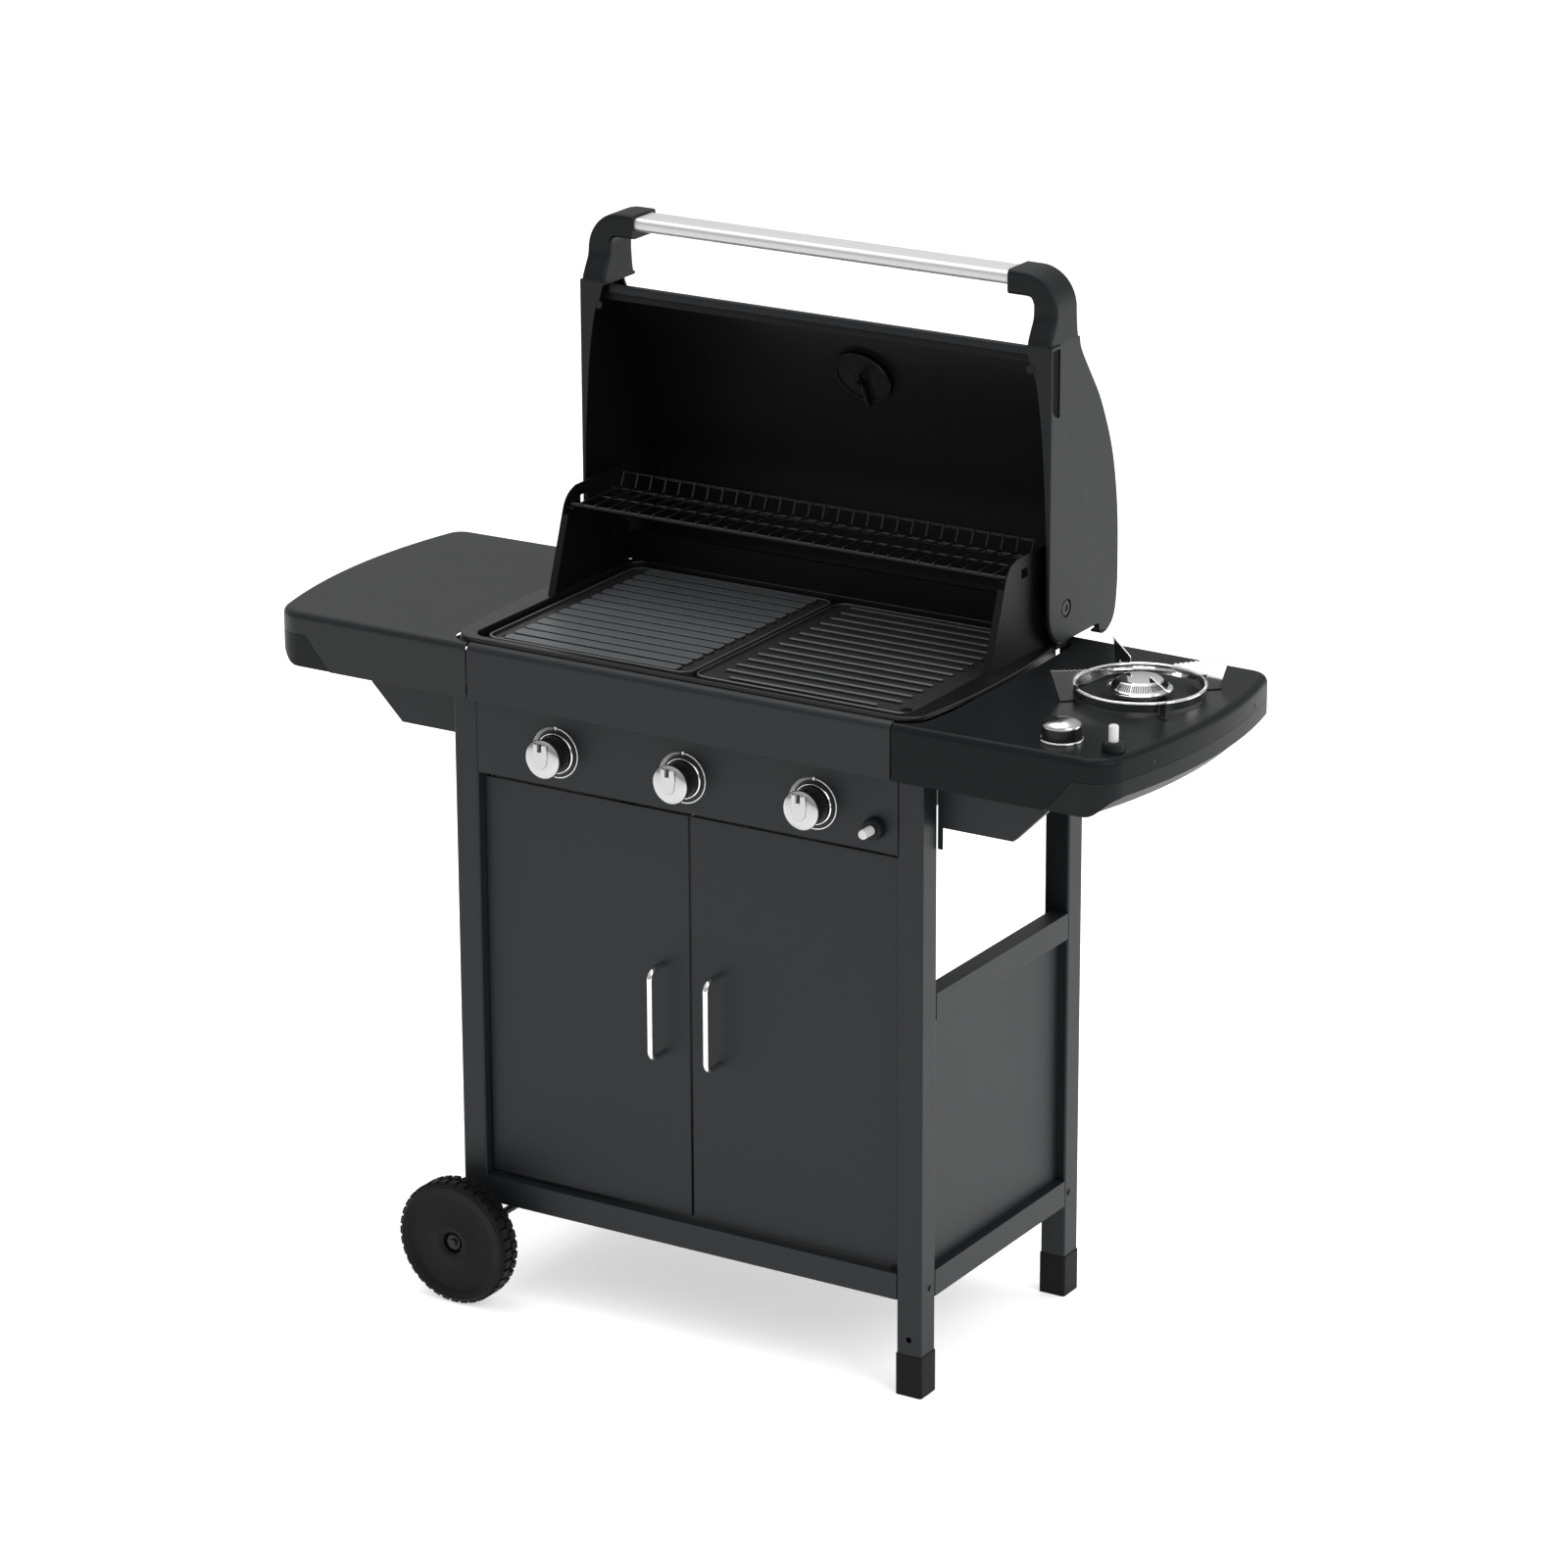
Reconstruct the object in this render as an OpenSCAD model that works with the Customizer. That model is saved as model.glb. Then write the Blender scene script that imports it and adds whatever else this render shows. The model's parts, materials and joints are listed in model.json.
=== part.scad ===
// Gas barbecue on a two-wheeled cart, drawn with its lid open, in millimetres.
// X runs to the right, Y to the back and Z up. The origin is on the ground, under the
// middle of the whole outline; frame_shift carries the middle of the cart to its place.

/* [Cart] */
// Width over the legs
cart_w = 680; // [670:1:690]
// Depth over the legs
cart_d = 400; // [396:1:404]
// Side of the square leg tube
leg_w = 35; // [32:1:36]
// Wall of the tubes
tube_wall = 1.5; // [1:0.5:2]
// Height of the top of the legs
leg_top = 808; // [800:1:808]
// Height of the tube rails
rail_h = 35; // [30:1:38]
// Underside of the bottom rails
bottom_rail_z = 126; // [120:1:130]
// Underside of the upper side rails
side_rail_z = 491; // [460:1:520]
// Depth by which the side panels are set back
panel_inset = 13; // [10:1:16]

/* [Wheels] */
// Outer radius of the wheels
wheel_r = 83; // [80:1:83]
// Width of the tread
wheel_w = 36; // [30:1:36]
// Radius of the axle
axle_r = 5; // [4:0.5:6]

/* [Doors and panel] */
// Lower edge of the control panel
panel_z = 708; // [706:1:712]
// Height of the knob centres
knob_z = 753; // [750:1:756]
// Spacing of the front knobs
knob_pitch = 187; // [184:1:188]
// Lower edge of the doors
door_z = 165.5; // [165.5:0.5:168]
// Thickness of the doors
door_t = 14; // [12:1:15]
// Length of the door handles between centres
door_handle_l = 118; // [100:1:130]

/* [Body] */
// Height of the shelves
shelf_z = 881; // [881:0.5:881.5]
// Height of the firebox rim
rim_z = 886.5; // [886:0.5:886.5]
// Largest half width of the shelves
shelf_reach = 627; // [620:1:628]
// Radius of the bowed shelf ends
shelf_bow_r = 760; // [740:10:800]
// Thickness of the pressed sheets
sheet = 1.5; // [1:0.1:2]

/* [Lid] */
// Height of the lid hinge
hinge_z = 933; // [933:0.1:933.2]
// Half width over the lid's side castings
lid_half_w = 342; // [341:0.5:343]
// Height of the centre of the handle bar
handle_z = 1346.5; // [1340:0.5:1350]

/* [Hidden] */
$fn = 48;

// Space left between parts that move past each other, and round running shafts
gap = 0.3;
fit = 0.08;
eps = 0.01;

// The lid reaches 282 back and the wheels 259 forward: half the difference
frame_shift = -11.5;
wheel_front_y = -259;

half_w = cart_w / 2;
half_d = cart_d / 2;
leg_x = half_w - leg_w / 2;
leg_y = half_d - leg_w / 2;
leg_in_x = half_w - leg_w;
leg_in_y = half_d - leg_w;
rail_t = 25;
axle_z = wheel_r;
left_leg_z = 62;
foot_h = 55;
foot_t = 1.2;
bottom_rail_top = bottom_rail_z + rail_h;

knob_xs = [-knob_pitch, 0, knob_pitch];
panel_y = -half_d;
fascia_y = -220;
fascia_z = 809;
seam_x = 307;
shelf_back_y = 195;
shelf_bow_y = -2;
shelf_skirt = 29;
front_corner_r = 42;
back_corner_r = 28;

rim_front_y = -208;
rim_back_y = 190;
rim_reach = 346;
rim_bow_r = 1047;
rim_bow_y = -32;
rim_corner_r = 30;
pocket_half_w = 313;
pocket_front_y = -196;
pocket_back_y = 178;
grate_z = 880;
grate_t = 12;
box_half_w = 302;
box_front_y = -138;
box_back_y = 176;
box_floor_z = 742;
wall_t = 4;

back_wall_y = 179;
wall_reach = 323;

hinge_y = 146;
lid_front_y = 101.5;
bumper_t = 1.3;
cast_t = 4;
cast_in_x = lid_half_w - cast_t;
cast_top_z = 1272;
crown_in_x = 306;

ring_c = [508, 30];
ring_r = 82;
side_knob_c = [511, -170];
side_button_c = [582, -173];
front_button = [274, 738];

// ---------------------------------------------------------------- helpers

module placed() translate([0, frame_shift, 0]) children();

module block(low, high) translate(low) cube(high - low);

module both_sides() {
    children();
    mirror([1, 0, 0]) children();
}

module front_and_back() {
    children();
    mirror([0, 1, 0]) children();
}

module rounded_square(size, r) {
    square([size.x - 2 * r, size.y], center = true);
    square([size.x, size.y - 2 * r], center = true);
    for (sx = [-1, 1], sy = [-1, 1])
        translate([sx * (size.x / 2 - r), sy * (size.y / 2 - r)]) circle(r = r);
}

module rod_x(x0, x1, y, z, r) translate([x0, y, z]) rotate([0, 90, 0]) cylinder(h = x1 - x0, r = r);

module rod_y(x, y0, y1, z, r) translate([x, y0, z]) rotate([-90, 0, 0]) cylinder(h = y1 - y0, r = r);

module rod_z(x, y, z0, z1, r) translate([x, y, z0]) cylinder(h = z1 - z0, r = r);

module upright_tube(x, y, z0, z1) {
    translate([x, y, z0]) linear_extrude(z1 - z0) difference() {
        rounded_square([leg_w, leg_w], 3);
        rounded_square([leg_w - 2 * tube_wall, leg_w - 2 * tube_wall], 3 - tube_wall);
    }
}

// Tube along X or Y, given by its outer corners; open at both ends
module tube_along_x(low, high) difference() {
    block(low, high);
    block(low + [-1, tube_wall, tube_wall], high - [-1, tube_wall, tube_wall]);
}

module tube_along_y(low, high) difference() {
    block(low, high);
    block(low + [tube_wall, -1, tube_wall], high - [tube_wall, -1, tube_wall]);
}

// Stands a shape drawn in Y and Z along X, from x0 to x1
module along_x(x0, x1) translate([x0, 0, 0]) rotate([90, 0, 90]) linear_extrude(x1 - x0) children();

// Stands a shape drawn in X and Z along Y, from y0 to y1
module along_y(y0, y1) translate([0, y1, 0]) rotate([90, 0, 0]) linear_extrude(y1 - y0) children();

// Points of a smooth curve through hand-set points
function curve_point(a, b, c, d, t) =
    0.5 * (2 * b + (c - a) * t + (2 * a - 5 * b + 4 * c - d) * t * t
    + (3 * b - a - 3 * c + d) * t * t * t);
function curve(p, steps) = [
    for (i = [0:len(p) - 2], s = [0:steps - 1])
        curve_point(p[max(i - 1, 0)], p[i], p[i + 1], p[min(i + 2, len(p) - 1)], s / steps),
    p[len(p) - 1]
];
function left_of(v) = [-v.y, v.x] / norm(v);
function inset(p, d) = [
    for (i = [0:len(p) - 1])
        p[i] + d * left_of(p[min(i + 1, len(p) - 1)] - p[max(i - 1, 0)])
];
function backwards(p) = [for (i = [len(p) - 1:-1:0]) p[i]];

// Plan of a side whose outer end is bowed and whose two outer corners are rounded
module bowed_half(reach, bow_r, bow_y, front_y, back_y, front_r, back_r, inset_by) {
    r = bow_r - inset_by;
    c = [reach - bow_r, bow_y];
    front = front_y + inset_by;
    back = back_y - inset_by;
    fr = front_r - inset_by;
    br = back_r - inset_by;
    fc = [c.x + sqrt(pow(r - fr, 2) - pow(front + fr - c.y, 2)), front + fr];
    bc = [c.x + sqrt(pow(r - br, 2) - pow(back - br - c.y, 2)), back - br];
    difference() {
        intersection() {
            translate(c) circle(r = r, $fn = 360);
            translate([0, front]) square([reach, back - front]);
        }
        corner_cut(fc, fr, [0, -1], (fc - c) / norm(fc - c));
        corner_cut(bc, br, [0, 1], (bc - c) / norm(bc - c));
    }
}

module corner_cut(c, r, edge, bow) {
    far = 3 * r;
    difference() {
        polygon([c, c + far * edge, c + far * (edge + bow), c + far * bow]);
        translate(c) circle(r = r, $fn = 96);
    }
}

module shelf_plan(inset_by = 0)
    bowed_half(shelf_reach, shelf_bow_r, shelf_bow_y, fascia_y, shelf_back_y, front_corner_r,
        back_corner_r, inset_by);

module rim_plan(inset_by = 0) {
    for (side = [0, 1])
        mirror([side, 0])
            bowed_half(rim_reach, rim_bow_r, rim_bow_y, rim_front_y, rim_back_y,
                rim_corner_r, rim_corner_r, inset_by);
}

// ---------------------------------------------------------------- cart frame

module leg_front_right_cuts() {
    rod_y(leg_x, -half_d - 1, -half_d + 3, 76, 3.75);
}

module legs_left() color("#2b2c2e") placed() front_and_back() difference() {
    upright_tube(-leg_x, -leg_y, left_leg_z, leg_top);
    rod_y(-leg_x, -half_d - 1, -leg_in_y + 1, axle_z, axle_r + fit);
}

module legs_right() color("#2b2c2e") placed() {
    difference() {
        upright_tube(leg_x, -leg_y, foot_t * 3, leg_top);
        leg_front_right_cuts();
    }
    upright_tube(leg_x, leg_y, foot_t * 3, leg_top);
}

module foot_caps() color("#1c1c1d") placed() front_and_back() difference() {
    translate([leg_x, -leg_y, 0]) linear_extrude(foot_h)
        rounded_square([leg_w + 2 * foot_t, leg_w + 2 * foot_t], 3.5);
    translate([leg_x, -leg_y, foot_t * 3]) linear_extrude(foot_h)
        rounded_square([leg_w, leg_w], 3);
}

// Tubes between the legs: all round at the bottom and along the sides higher up
module rails() color("#2b2c2e") placed() {
    front_and_back()
        tube_along_x([-leg_in_x, -half_d, bottom_rail_z], [leg_in_x, rail_t - half_d, bottom_rail_top]);
    for (z = [bottom_rail_z, side_rail_z])
        both_sides()
            tube_along_y([half_w - rail_t, -leg_in_y, z], [half_w, leg_in_y, z + rail_h]);
}

module side_panels() color("#303133") placed() both_sides()
    block([half_w - panel_inset - sheet, -leg_in_y, bottom_rail_top],
        [half_w - panel_inset, leg_in_y, side_rail_z]);

module bottom_panel() color("#2b2c2e") placed() {
    block([-leg_in_x, rail_t - half_d, 150], [leg_in_x, half_d - rail_t, 150 + sheet]);
    block([rail_t - half_w, -leg_in_y, 150], [half_w - rail_t, leg_in_y, 150 + sheet]);
    front_and_back()
        block([-leg_in_x, rail_t - half_d, 130], [leg_in_x, rail_t - half_d + sheet, 150 + eps]);
}

module frame_screws() color("#3c3d3f") placed() both_sides() for (y = [-leg_in_y - 12, leg_in_y + 12]) {
    difference() {
        rod_x(half_w, half_w + 1.6, y, 141, 3.8);
        rod_x(half_w + 1, half_w + 2, y, 141, 1.2);
    }
}

// ---------------------------------------------------------------- wheels

// Half profile of the wheel from its outer face inwards: radius, then depth
module wheel_profile() polygon([
    [axle_r + fit, 12], [14, 12], [14, 4], [20, 2], [40, 5], [66, 5], [72, 1], [76, 0],
    [wheel_r - 3, 5], [wheel_r, 8], [wheel_r, wheel_w - 8], [wheel_r - 3, wheel_w - 5],
    [76, wheel_w], [72, wheel_w - 1], [66, wheel_w - 6], [30, wheel_w - 6], [17, wheel_w],
    [15, -wheel_front_y - half_d - gap], [axle_r + fit, -wheel_front_y - half_d - gap]
]);

module wheel() translate([-leg_x, wheel_front_y, axle_z]) rotate([-90, 0, 0])
    rotate_extrude($fn = 96) wheel_profile();

module wheel_front() color("#1f1f20") placed() wheel();

module wheel_back() color("#1f1f20") placed() mirror([0, 1, 0]) wheel();

module axle() color("#8d9093") placed()
    rod_y(-leg_x, wheel_front_y + 3, -wheel_front_y - 3, axle_z, axle_r);

module axle_caps() color("#3a3b3d") placed() front_and_back() difference() {
    rod_y(-leg_x, wheel_front_y + 6.5, wheel_front_y + 11.5, axle_z, 10);
    rod_y(-leg_x, wheel_front_y + 5, wheel_front_y + 13, axle_z, axle_r);
}

// ---------------------------------------------------------------- panel and knobs

module control_panel() color("#2b2c2e") placed() difference() {
    union() {
        block([-leg_in_x, panel_y, panel_z], [leg_in_x, panel_y + sheet, leg_top]);
        block([-leg_in_x, panel_y, leg_top - sheet], [leg_in_x, panel_y + 30, leg_top]);
        block([-leg_in_x, panel_y, panel_z], [leg_in_x, panel_y + 10, panel_z + sheet]);
        both_sides()
            block([leg_in_x - sheet, panel_y, panel_z], [leg_in_x, panel_y + 30, leg_top]);
    }
    for (x = knob_xs)
        rod_y(x, panel_y - 1, panel_y + 5, knob_z, 6);
    rod_y(front_button.x, panel_y - 1, panel_y + 5, front_button.y, 8);
}

// Sheet bent to a nose, with a rounded upper edge
module fascia_section() {
    nose_r = 10;
    depth = 11;
    top = shelf_z;
    difference() {
        union() {
            translate([fascia_y, fascia_z]) square([depth, top - fascia_z - nose_r]);
            translate([fascia_y + nose_r, fascia_z]) square([depth - nose_r, top - fascia_z]);
            translate([fascia_y + nose_r, top - nose_r]) circle(r = nose_r);
        }
        translate([fascia_y + sheet, fascia_z - 1]) square([20, top - fascia_z - nose_r + 1]);
        translate([fascia_y + nose_r, fascia_z - 1]) square([20, top - fascia_z + 1 - sheet]);
        translate([fascia_y + nose_r, top - nose_r]) circle(r = nose_r - sheet);
    }
    translate([fascia_y, fascia_z]) square([20 - gap, sheet]);
    translate([fascia_y + depth - sheet, top - 16]) square([sheet, 16]);
}

fascia_reach = seam_x - 2;
module front_fascia() color("#2b2c2e") placed() along_x(-fascia_reach, fascia_reach) fascia_section();

module bezel(depth) rotate_extrude($fn = 96)
    polygon([[24.3, 0], [26.6, 0], [26.6, depth - 1.2], [25.6, depth], [24.8, depth], [24.3, depth - 0.6]]);

module knob_bezels() color("#d9dcdf") placed() {
    for (x = knob_xs)
        translate([x, panel_y, knob_z]) rotate([90, 0, 0]) bezel(4);
    translate([side_knob_c.x, side_knob_c.y, shelf_z]) bezel(4);
}

module igniter_base() difference() {
    rotate_extrude() polygon([[0, 0], [14, 0], [14, 8], [12.5, 11], [9, 12], [0, 12]]);
    translate([0, 0, 1]) cylinder(h = 20, r = 6 + 2 * fit);
}

module igniter_bases() color("#1c1c1d") placed() {
    translate([front_button.x, panel_y, front_button.y]) rotate([90, 0, 0]) igniter_base();
    translate([side_button_c.x, side_button_c.y, shelf_z]) igniter_base();
}

module button_tip() rotate_extrude()
    polygon([[0, 0], [6, 0], [6, 23], [5, 24.5], [0, 24.5]]);

module button_front() color("#c9cbcd") placed()
    translate([front_button.x, panel_y - 7.5, front_button.y]) rotate([90, 0, 0]) button_tip();

module button_side() color("#c9cbcd") placed()
    translate([side_button_c.x, side_button_c.y, shelf_z + 7.5]) button_tip();

// Turning shaft from the valve (behind the surface) up to the knob (before it)
module stem(reach) translate([0, 0, -30]) cylinder(h = 30 + reach, r = 4);

module knob_place(x) translate([x, panel_y, knob_z]) rotate([90, 0, 0]) children();

module stem_left() color("#8d9093") placed() knob_place(knob_xs[0]) stem(28);

module stem_middle() color("#8d9093") placed() knob_place(knob_xs[1]) stem(28);

module stem_right() color("#8d9093") placed() knob_place(knob_xs[2]) stem(28);

module stem_side() color("#8d9093") placed()
    translate([side_knob_c.x, side_knob_c.y, shelf_z]) stem(15);

module knob_body(length, bore) difference() {
    rotate_extrude($fn = 96) polygon([
        [0, 4], [23, 4], [23.5, 5], [23.5, length - 9], [25, length - 8], [25, length - 2.5],
        [23.5, length - 0.8], [21, length], [0, length]
    ]);
    cylinder(h = bore, r = 4 + fit);
}

module knob_left() color("#cfd2d5") placed() knob_place(knob_xs[0]) knob_body(36, 33);

module knob_middle() color("#cfd2d5") placed() knob_place(knob_xs[1]) knob_body(36, 33);

module knob_right() color("#cfd2d5") placed() knob_place(knob_xs[2]) knob_body(36, 33);

module knob_side() color("#cfd2d5") placed() difference() {
    translate([side_knob_c.x, side_knob_c.y, shelf_z]) rotate_extrude($fn = 96) polygon([
        [0, 4], [23, 4], [23.5, 5], [23.5, 20], [22, 23], [15, 26], [0, 27.5]
    ]);
    rod_z(side_knob_c.x, side_knob_c.y, shelf_z, shelf_z + 20, 4 + fit);
}

module valve() difference() {
    block([-13, -12, -45], [13, 12, -6]);
    translate([0, 0, -35]) cylinder(h = 60, r = 4 + fit);
}

module gas_valves() color("#b08d4a") placed() {
    for (x = knob_xs) {
        knob_place(x) valve();
        rod_z(x, panel_y + 30, knob_z + 11, 796, 4);
        rod_y(x, panel_y + 30, panel_y + 52, 792, 4);
    }
    translate([side_knob_c.x, side_knob_c.y, shelf_z]) valve();
}

inlet_z = 692;

// Pipe that feeds the valves, with a hose nozzle that points to the open back
module gas_manifold() color("#9a9da0") placed() {
    rod_x(-215, 262, panel_y + 52, knob_z, 7);
    rod_z(255, panel_y + 52, inlet_z - 5, knob_z, 6);
    rod_y(255, panel_y + 52, panel_y + 60, inlet_z, 7);
    rod_y(255, panel_y + 60, panel_y + 100, inlet_z, 4.5);
    rod_x(262, 285, panel_y + 52, knob_z, 4);
}

// ---------------------------------------------------------------- firebox

module firebox() color("#1a1a1b") placed() difference() {
    union() {
        translate([0, 0, rim_z - 5]) linear_extrude(5) rim_plan();
        translate([0, 0, 860]) linear_extrude(rim_z - 862)
            pocket_plan(-5);
        block([-box_half_w, box_front_y, box_floor_z], [box_half_w, box_back_y, 864]);
        both_sides() hinge_lug();
    }
    translate([0, 0, grate_z - grate_t]) linear_extrude(40)
        pocket_plan(0);
    block([wall_t - box_half_w, box_front_y + wall_t, box_floor_z + wall_t],
        [box_half_w - wall_t, box_back_y - wall_t, grate_z]);
    for (x = knob_xs)
        rod_y(x, box_front_y - 5, box_front_y + 10, 792, 13.5);
    block([-60, -20, box_floor_z - 5], [60, 40, box_floor_z + 10]);
    both_sides()
        rod_x(300, 340, hinge_y, hinge_z, 6 + fit);
}

// Outline of the recess that holds the grates
module pocket_plan(inset_by) translate([0, (pocket_front_y + pocket_back_y) / 2])
    rounded_square([2 * (pocket_half_w - inset_by), pocket_back_y - pocket_front_y - 2 * inset_by],
        20 - inset_by);

// Ear that carries the lid bolt, cut away round the windbreak's foot
module hinge_lug() {
    along_x(326, 336) {
        translate([hinge_y, hinge_z]) circle(r = 13);
        translate([hinge_y - 13, rim_z - 5]) square([26, hinge_z - rim_z + 5]);
    }
}

module windbreak_shape() {
    polygon(concat(
        [[back_wall_y, rim_z], [-10, rim_z], [24, 984]],
        curve([[24, 984], [30, 999], [41, 1010], [56, 1016]], 4),
        [[back_wall_y, 1016]]
    ));
}

module windbreaks() color("#1c1c1d") placed() both_sides() {
    difference() {
        along_x(321, 323) windbreak_shape();
        block([318, 66, 988], [326, 82, 1000]);
        rod_x(318, 326, hinge_y, hinge_z, 7);
    }
    along_x(313, 321) polygon([[-10, rim_z], [24, 984], [26, 984], [-7.5, rim_z]]);
    block([311, 34, 990], [321, 44, 992]);
    block([311, 124, 990], [321, 134, 992]);
}

module back_wall() color("#1a1a1b") placed() {
    block([-wall_reach, back_wall_y, rim_z], [wall_reach, back_wall_y + 2, 924]);
    block([-wall_reach, back_wall_y, 922], [wall_reach, back_wall_y + 10, 924]);
    block([-wall_reach, back_wall_y + 8.5, 912], [wall_reach, back_wall_y + 10, 924]);
}

module burner_tubes() color("#7c7f82") placed() for (x = knob_xs) difference() {
    union() {
        rod_y(x, -146, 150, 792, 12.5);
        rod_y(x, 150, 153, 792, 14);
    }
    rod_y(x, -147, 148, 792, 11.3);
    for (y = [-100:20:140], side = [-1, 1])
        translate([x, y, 792]) rotate([0, 60 * side, 0]) cylinder(h = 20, r = 1.5, $fn = 13);
}

module flame_tamers() color("#26272a") placed() for (x = knob_xs) translate([x, 0, 0])
    along_y(-125, 165) polygon([
        [-62, 822], [0, 846], [62, 822], [62, 820], [0, 844], [-62, 820]
    ]);

function slot_ys() = [for (i = [-6:6]) i * 24.6];
plate_back_y = 174;
plate_front_y = -177;
plate_edge = 4;

module plate_plan(x0, x1, inset_by = 0)
    translate([(x0 + x1) / 2, (plate_front_y + plate_back_y) / 2])
        rounded_square([x1 - x0 - 2 * inset_by, plate_back_y - plate_front_y - 2 * inset_by],
            18 - inset_by);

// Plate with a raised border
module grate_plate(x0, x1) translate([0, 0, grate_z - grate_t]) {
    linear_extrude(8) plate_plan(x0, x1);
    linear_extrude(grate_t) difference() {
        plate_plan(x0, x1);
        plate_plan(x0, x1, plate_edge);
    }
}

// Broad flat bars with narrow slots between them
module cooking_grate() color("#202122") placed() difference() {
    union() {
        grate_plate(-308, -6);
        for (y = slot_ys())
            translate([-157, y + 12.3, grate_z - 4 - eps]) linear_extrude(4 + eps)
                rounded_square([256, 20], 6);
        translate([-157, -160, grate_z - 4 - eps]) linear_extrude(4 + eps) rounded_square([256, 18], 6);
    }
    for (y = slot_ys())
        translate([-157, y, grate_z - grate_t - 1]) linear_extrude(20) rounded_square([246, 3.6], 1.7);
    rod_z(-290, -152, 860, 890, 5);
}

// Flat plate with narrow raised ribs
module griddle() color("#202122") placed() difference() {
    union() {
        grate_plate(-2, 308);
        for (y = slot_ys())
            translate([148, y + 12.3, grate_z - 5]) linear_extrude(5) rounded_square([250, 6], 2.9);
        translate([148, -160, grate_z - 5]) linear_extrude(5) rounded_square([210, 6], 2.9);
    }
    rod_z(288, -152, 860, 890, 8);
}

module warming_rack() color("#3a3c3e") placed() {
    bar_r = 2.8;
    wire_r = 1.5;
    bar_z = 995;
    wire_z = bar_z + bar_r + wire_r + eps;
    for (y = [39, 129])
        rod_x(-317, 317, y, bar_z, bar_r);
    rod_x(-304, 304, 84, bar_z + 1, bar_r - 1);
    rod_x(-304, 304, 139.8, 1015, wire_r);
    for (i = [-14:14]) {
        rod_y(i * 21.5, 37, 130, wire_z, wire_r);
        translate([i * 21.5, 129.5, wire_z - 0.5]) rotate([-22, 0, 0]) cylinder(h = 20, r = wire_r);
    }
}

module tray_runners() color("#3a3c3e") placed() both_sides() {
    block([153, -130, 716], [154.5, 170, box_floor_z]);
    block([140, -130, 716], [154.5, 170, 717.5]);
}

module grease_tray() color("#8f9295") placed() difference() {
    union() {
        block([-150, -125, 718], [150, 172, 720]);
        block([-136, -120, 712], [136, 165, 720]);
        block([-150, 172, 706], [150, 173.5, 732]);
        block([-60, 173.5, 706], [60, 186, 708]);
    }
    block([-134, -118, 713.5], [134, 163, 725]);
}

// ---------------------------------------------------------------- shelves

// Space kept free round the firebox rim
module rim_gap() translate([0, 0, 600]) linear_extrude(400) union() {
    rim_plan(-6);
    translate([-seam_x, fascia_y - 5]) square([2 * seam_x, 16.3]);
    for (side = [0, 1])
        mirror([side, 0]) polygon([[300, 60], [348, 60], [344, 150], [341, 166], [334, 170], [300, 170]]);
}

module shelf_band(z0, z1, outer, inner) translate([0, 0, z0]) linear_extrude(z1 - z0) difference() {
    shelf_plan(outer);
    shelf_plan(inner);
}

// Front face seam: metal inside it, moulded corner outside it
seam_low_x = 516;
seam_high_x = 552;
split_z = shelf_z - shelf_skirt;

module front_metal_face() along_y(fascia_y - 1, fascia_y + sheet) polygon([
    [seam_x, fascia_z], [seam_low_x, fascia_z], [seam_high_x, split_z], [seam_x, split_z]
]);

module shelf_shell() difference() {
    union() {
        translate([0, 0, shelf_z - sheet]) linear_extrude(sheet) shelf_plan();
        shelf_band(split_z, shelf_z, 0, sheet);
        intersection() {
            shelf_band(fascia_z, split_z, 0, sheet);
            front_metal_face();
        }
    }
    rim_gap();
    shelf_screw_places() translate([0, 0, -5]) cylinder(h = 10, r = 3);
}

module shelf_left() color("#515254") placed() mirror([1, 0, 0]) shelf_shell();

module burner_well() translate([ring_c.x, ring_c.y, shelf_z - 10]) cylinder(h = 20, r = 24);

module support_feet(r, hole) for (a = [45:90:315])
    translate([ring_c.x, ring_c.y, shelf_z - 3]) rotate([0, 0, a]) translate([r, 0, 0])
        translate([-hole / 2, -2, 0]) cube([hole, 4, 6]);

module shelf_right() color("#1f2021") placed() difference() {
    shelf_shell();
    burner_well();
    support_feet(92, 20);
    rod_z(side_knob_c.x, side_knob_c.y, shelf_z - 10, shelf_z + 5, 6);
    rod_z(side_button_c.x, side_button_c.y, shelf_z - 10, shelf_z + 5, 5);
}

// Moulded end trim: deep at the front corner, then a level band round the end
trim_low_z = 832;
module trim_side_view() {
    low = curve([[fascia_y - 1, fascia_z], [-218, 811], [-210, 822], [-200, 829], [-184, trim_low_z]], 4);
    polygon(concat(
        low, [[shelf_back_y + 1, trim_low_z], [shelf_back_y + 1, split_z], [fascia_y - 1, split_z]]
    ));
}

module shelf_trim() {
    difference() {
        intersection() {
            shelf_band(fascia_z, split_z - gap, 0, 3);
            along_x(500, 640) trim_side_view();
        }
        front_metal_cut();
    }
    intersection() {
        trim_lip();
        translate([560, fascia_y, 800]) cube([100, 380, 60]);
        translate([0, 0, 800]) linear_extrude(60) shelf_plan(2.6);
    }
}

// Strip that slopes down and inwards behind the lower edge
module trim_lip() translate([shelf_reach - shelf_bow_r, shelf_bow_y, 0])
    rotate_extrude($fn = 360) polygon([
        [shelf_bow_r - 2.6, 833.5], [shelf_bow_r - 24, 813.5], [shelf_bow_r - 24, 812],
        [shelf_bow_r - 22.5, 812], [shelf_bow_r - 2.6, 831.5]
    ]);

module front_metal_cut() {
    slope = (seam_high_x - seam_low_x) / (split_z - fascia_z);
    along_y(fascia_y - 10, fascia_y + 20) polygon([
        [300, fascia_z - 10], [seam_low_x + 2 * gap, fascia_z - 10], [seam_low_x + 2 * gap, fascia_z],
        [seam_high_x + 2 * gap + slope, split_z + 1], [300, split_z + 1]
    ]);
}

module shelf_trims() color("#2a2b2c") placed() both_sides() shelf_trim();

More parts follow.
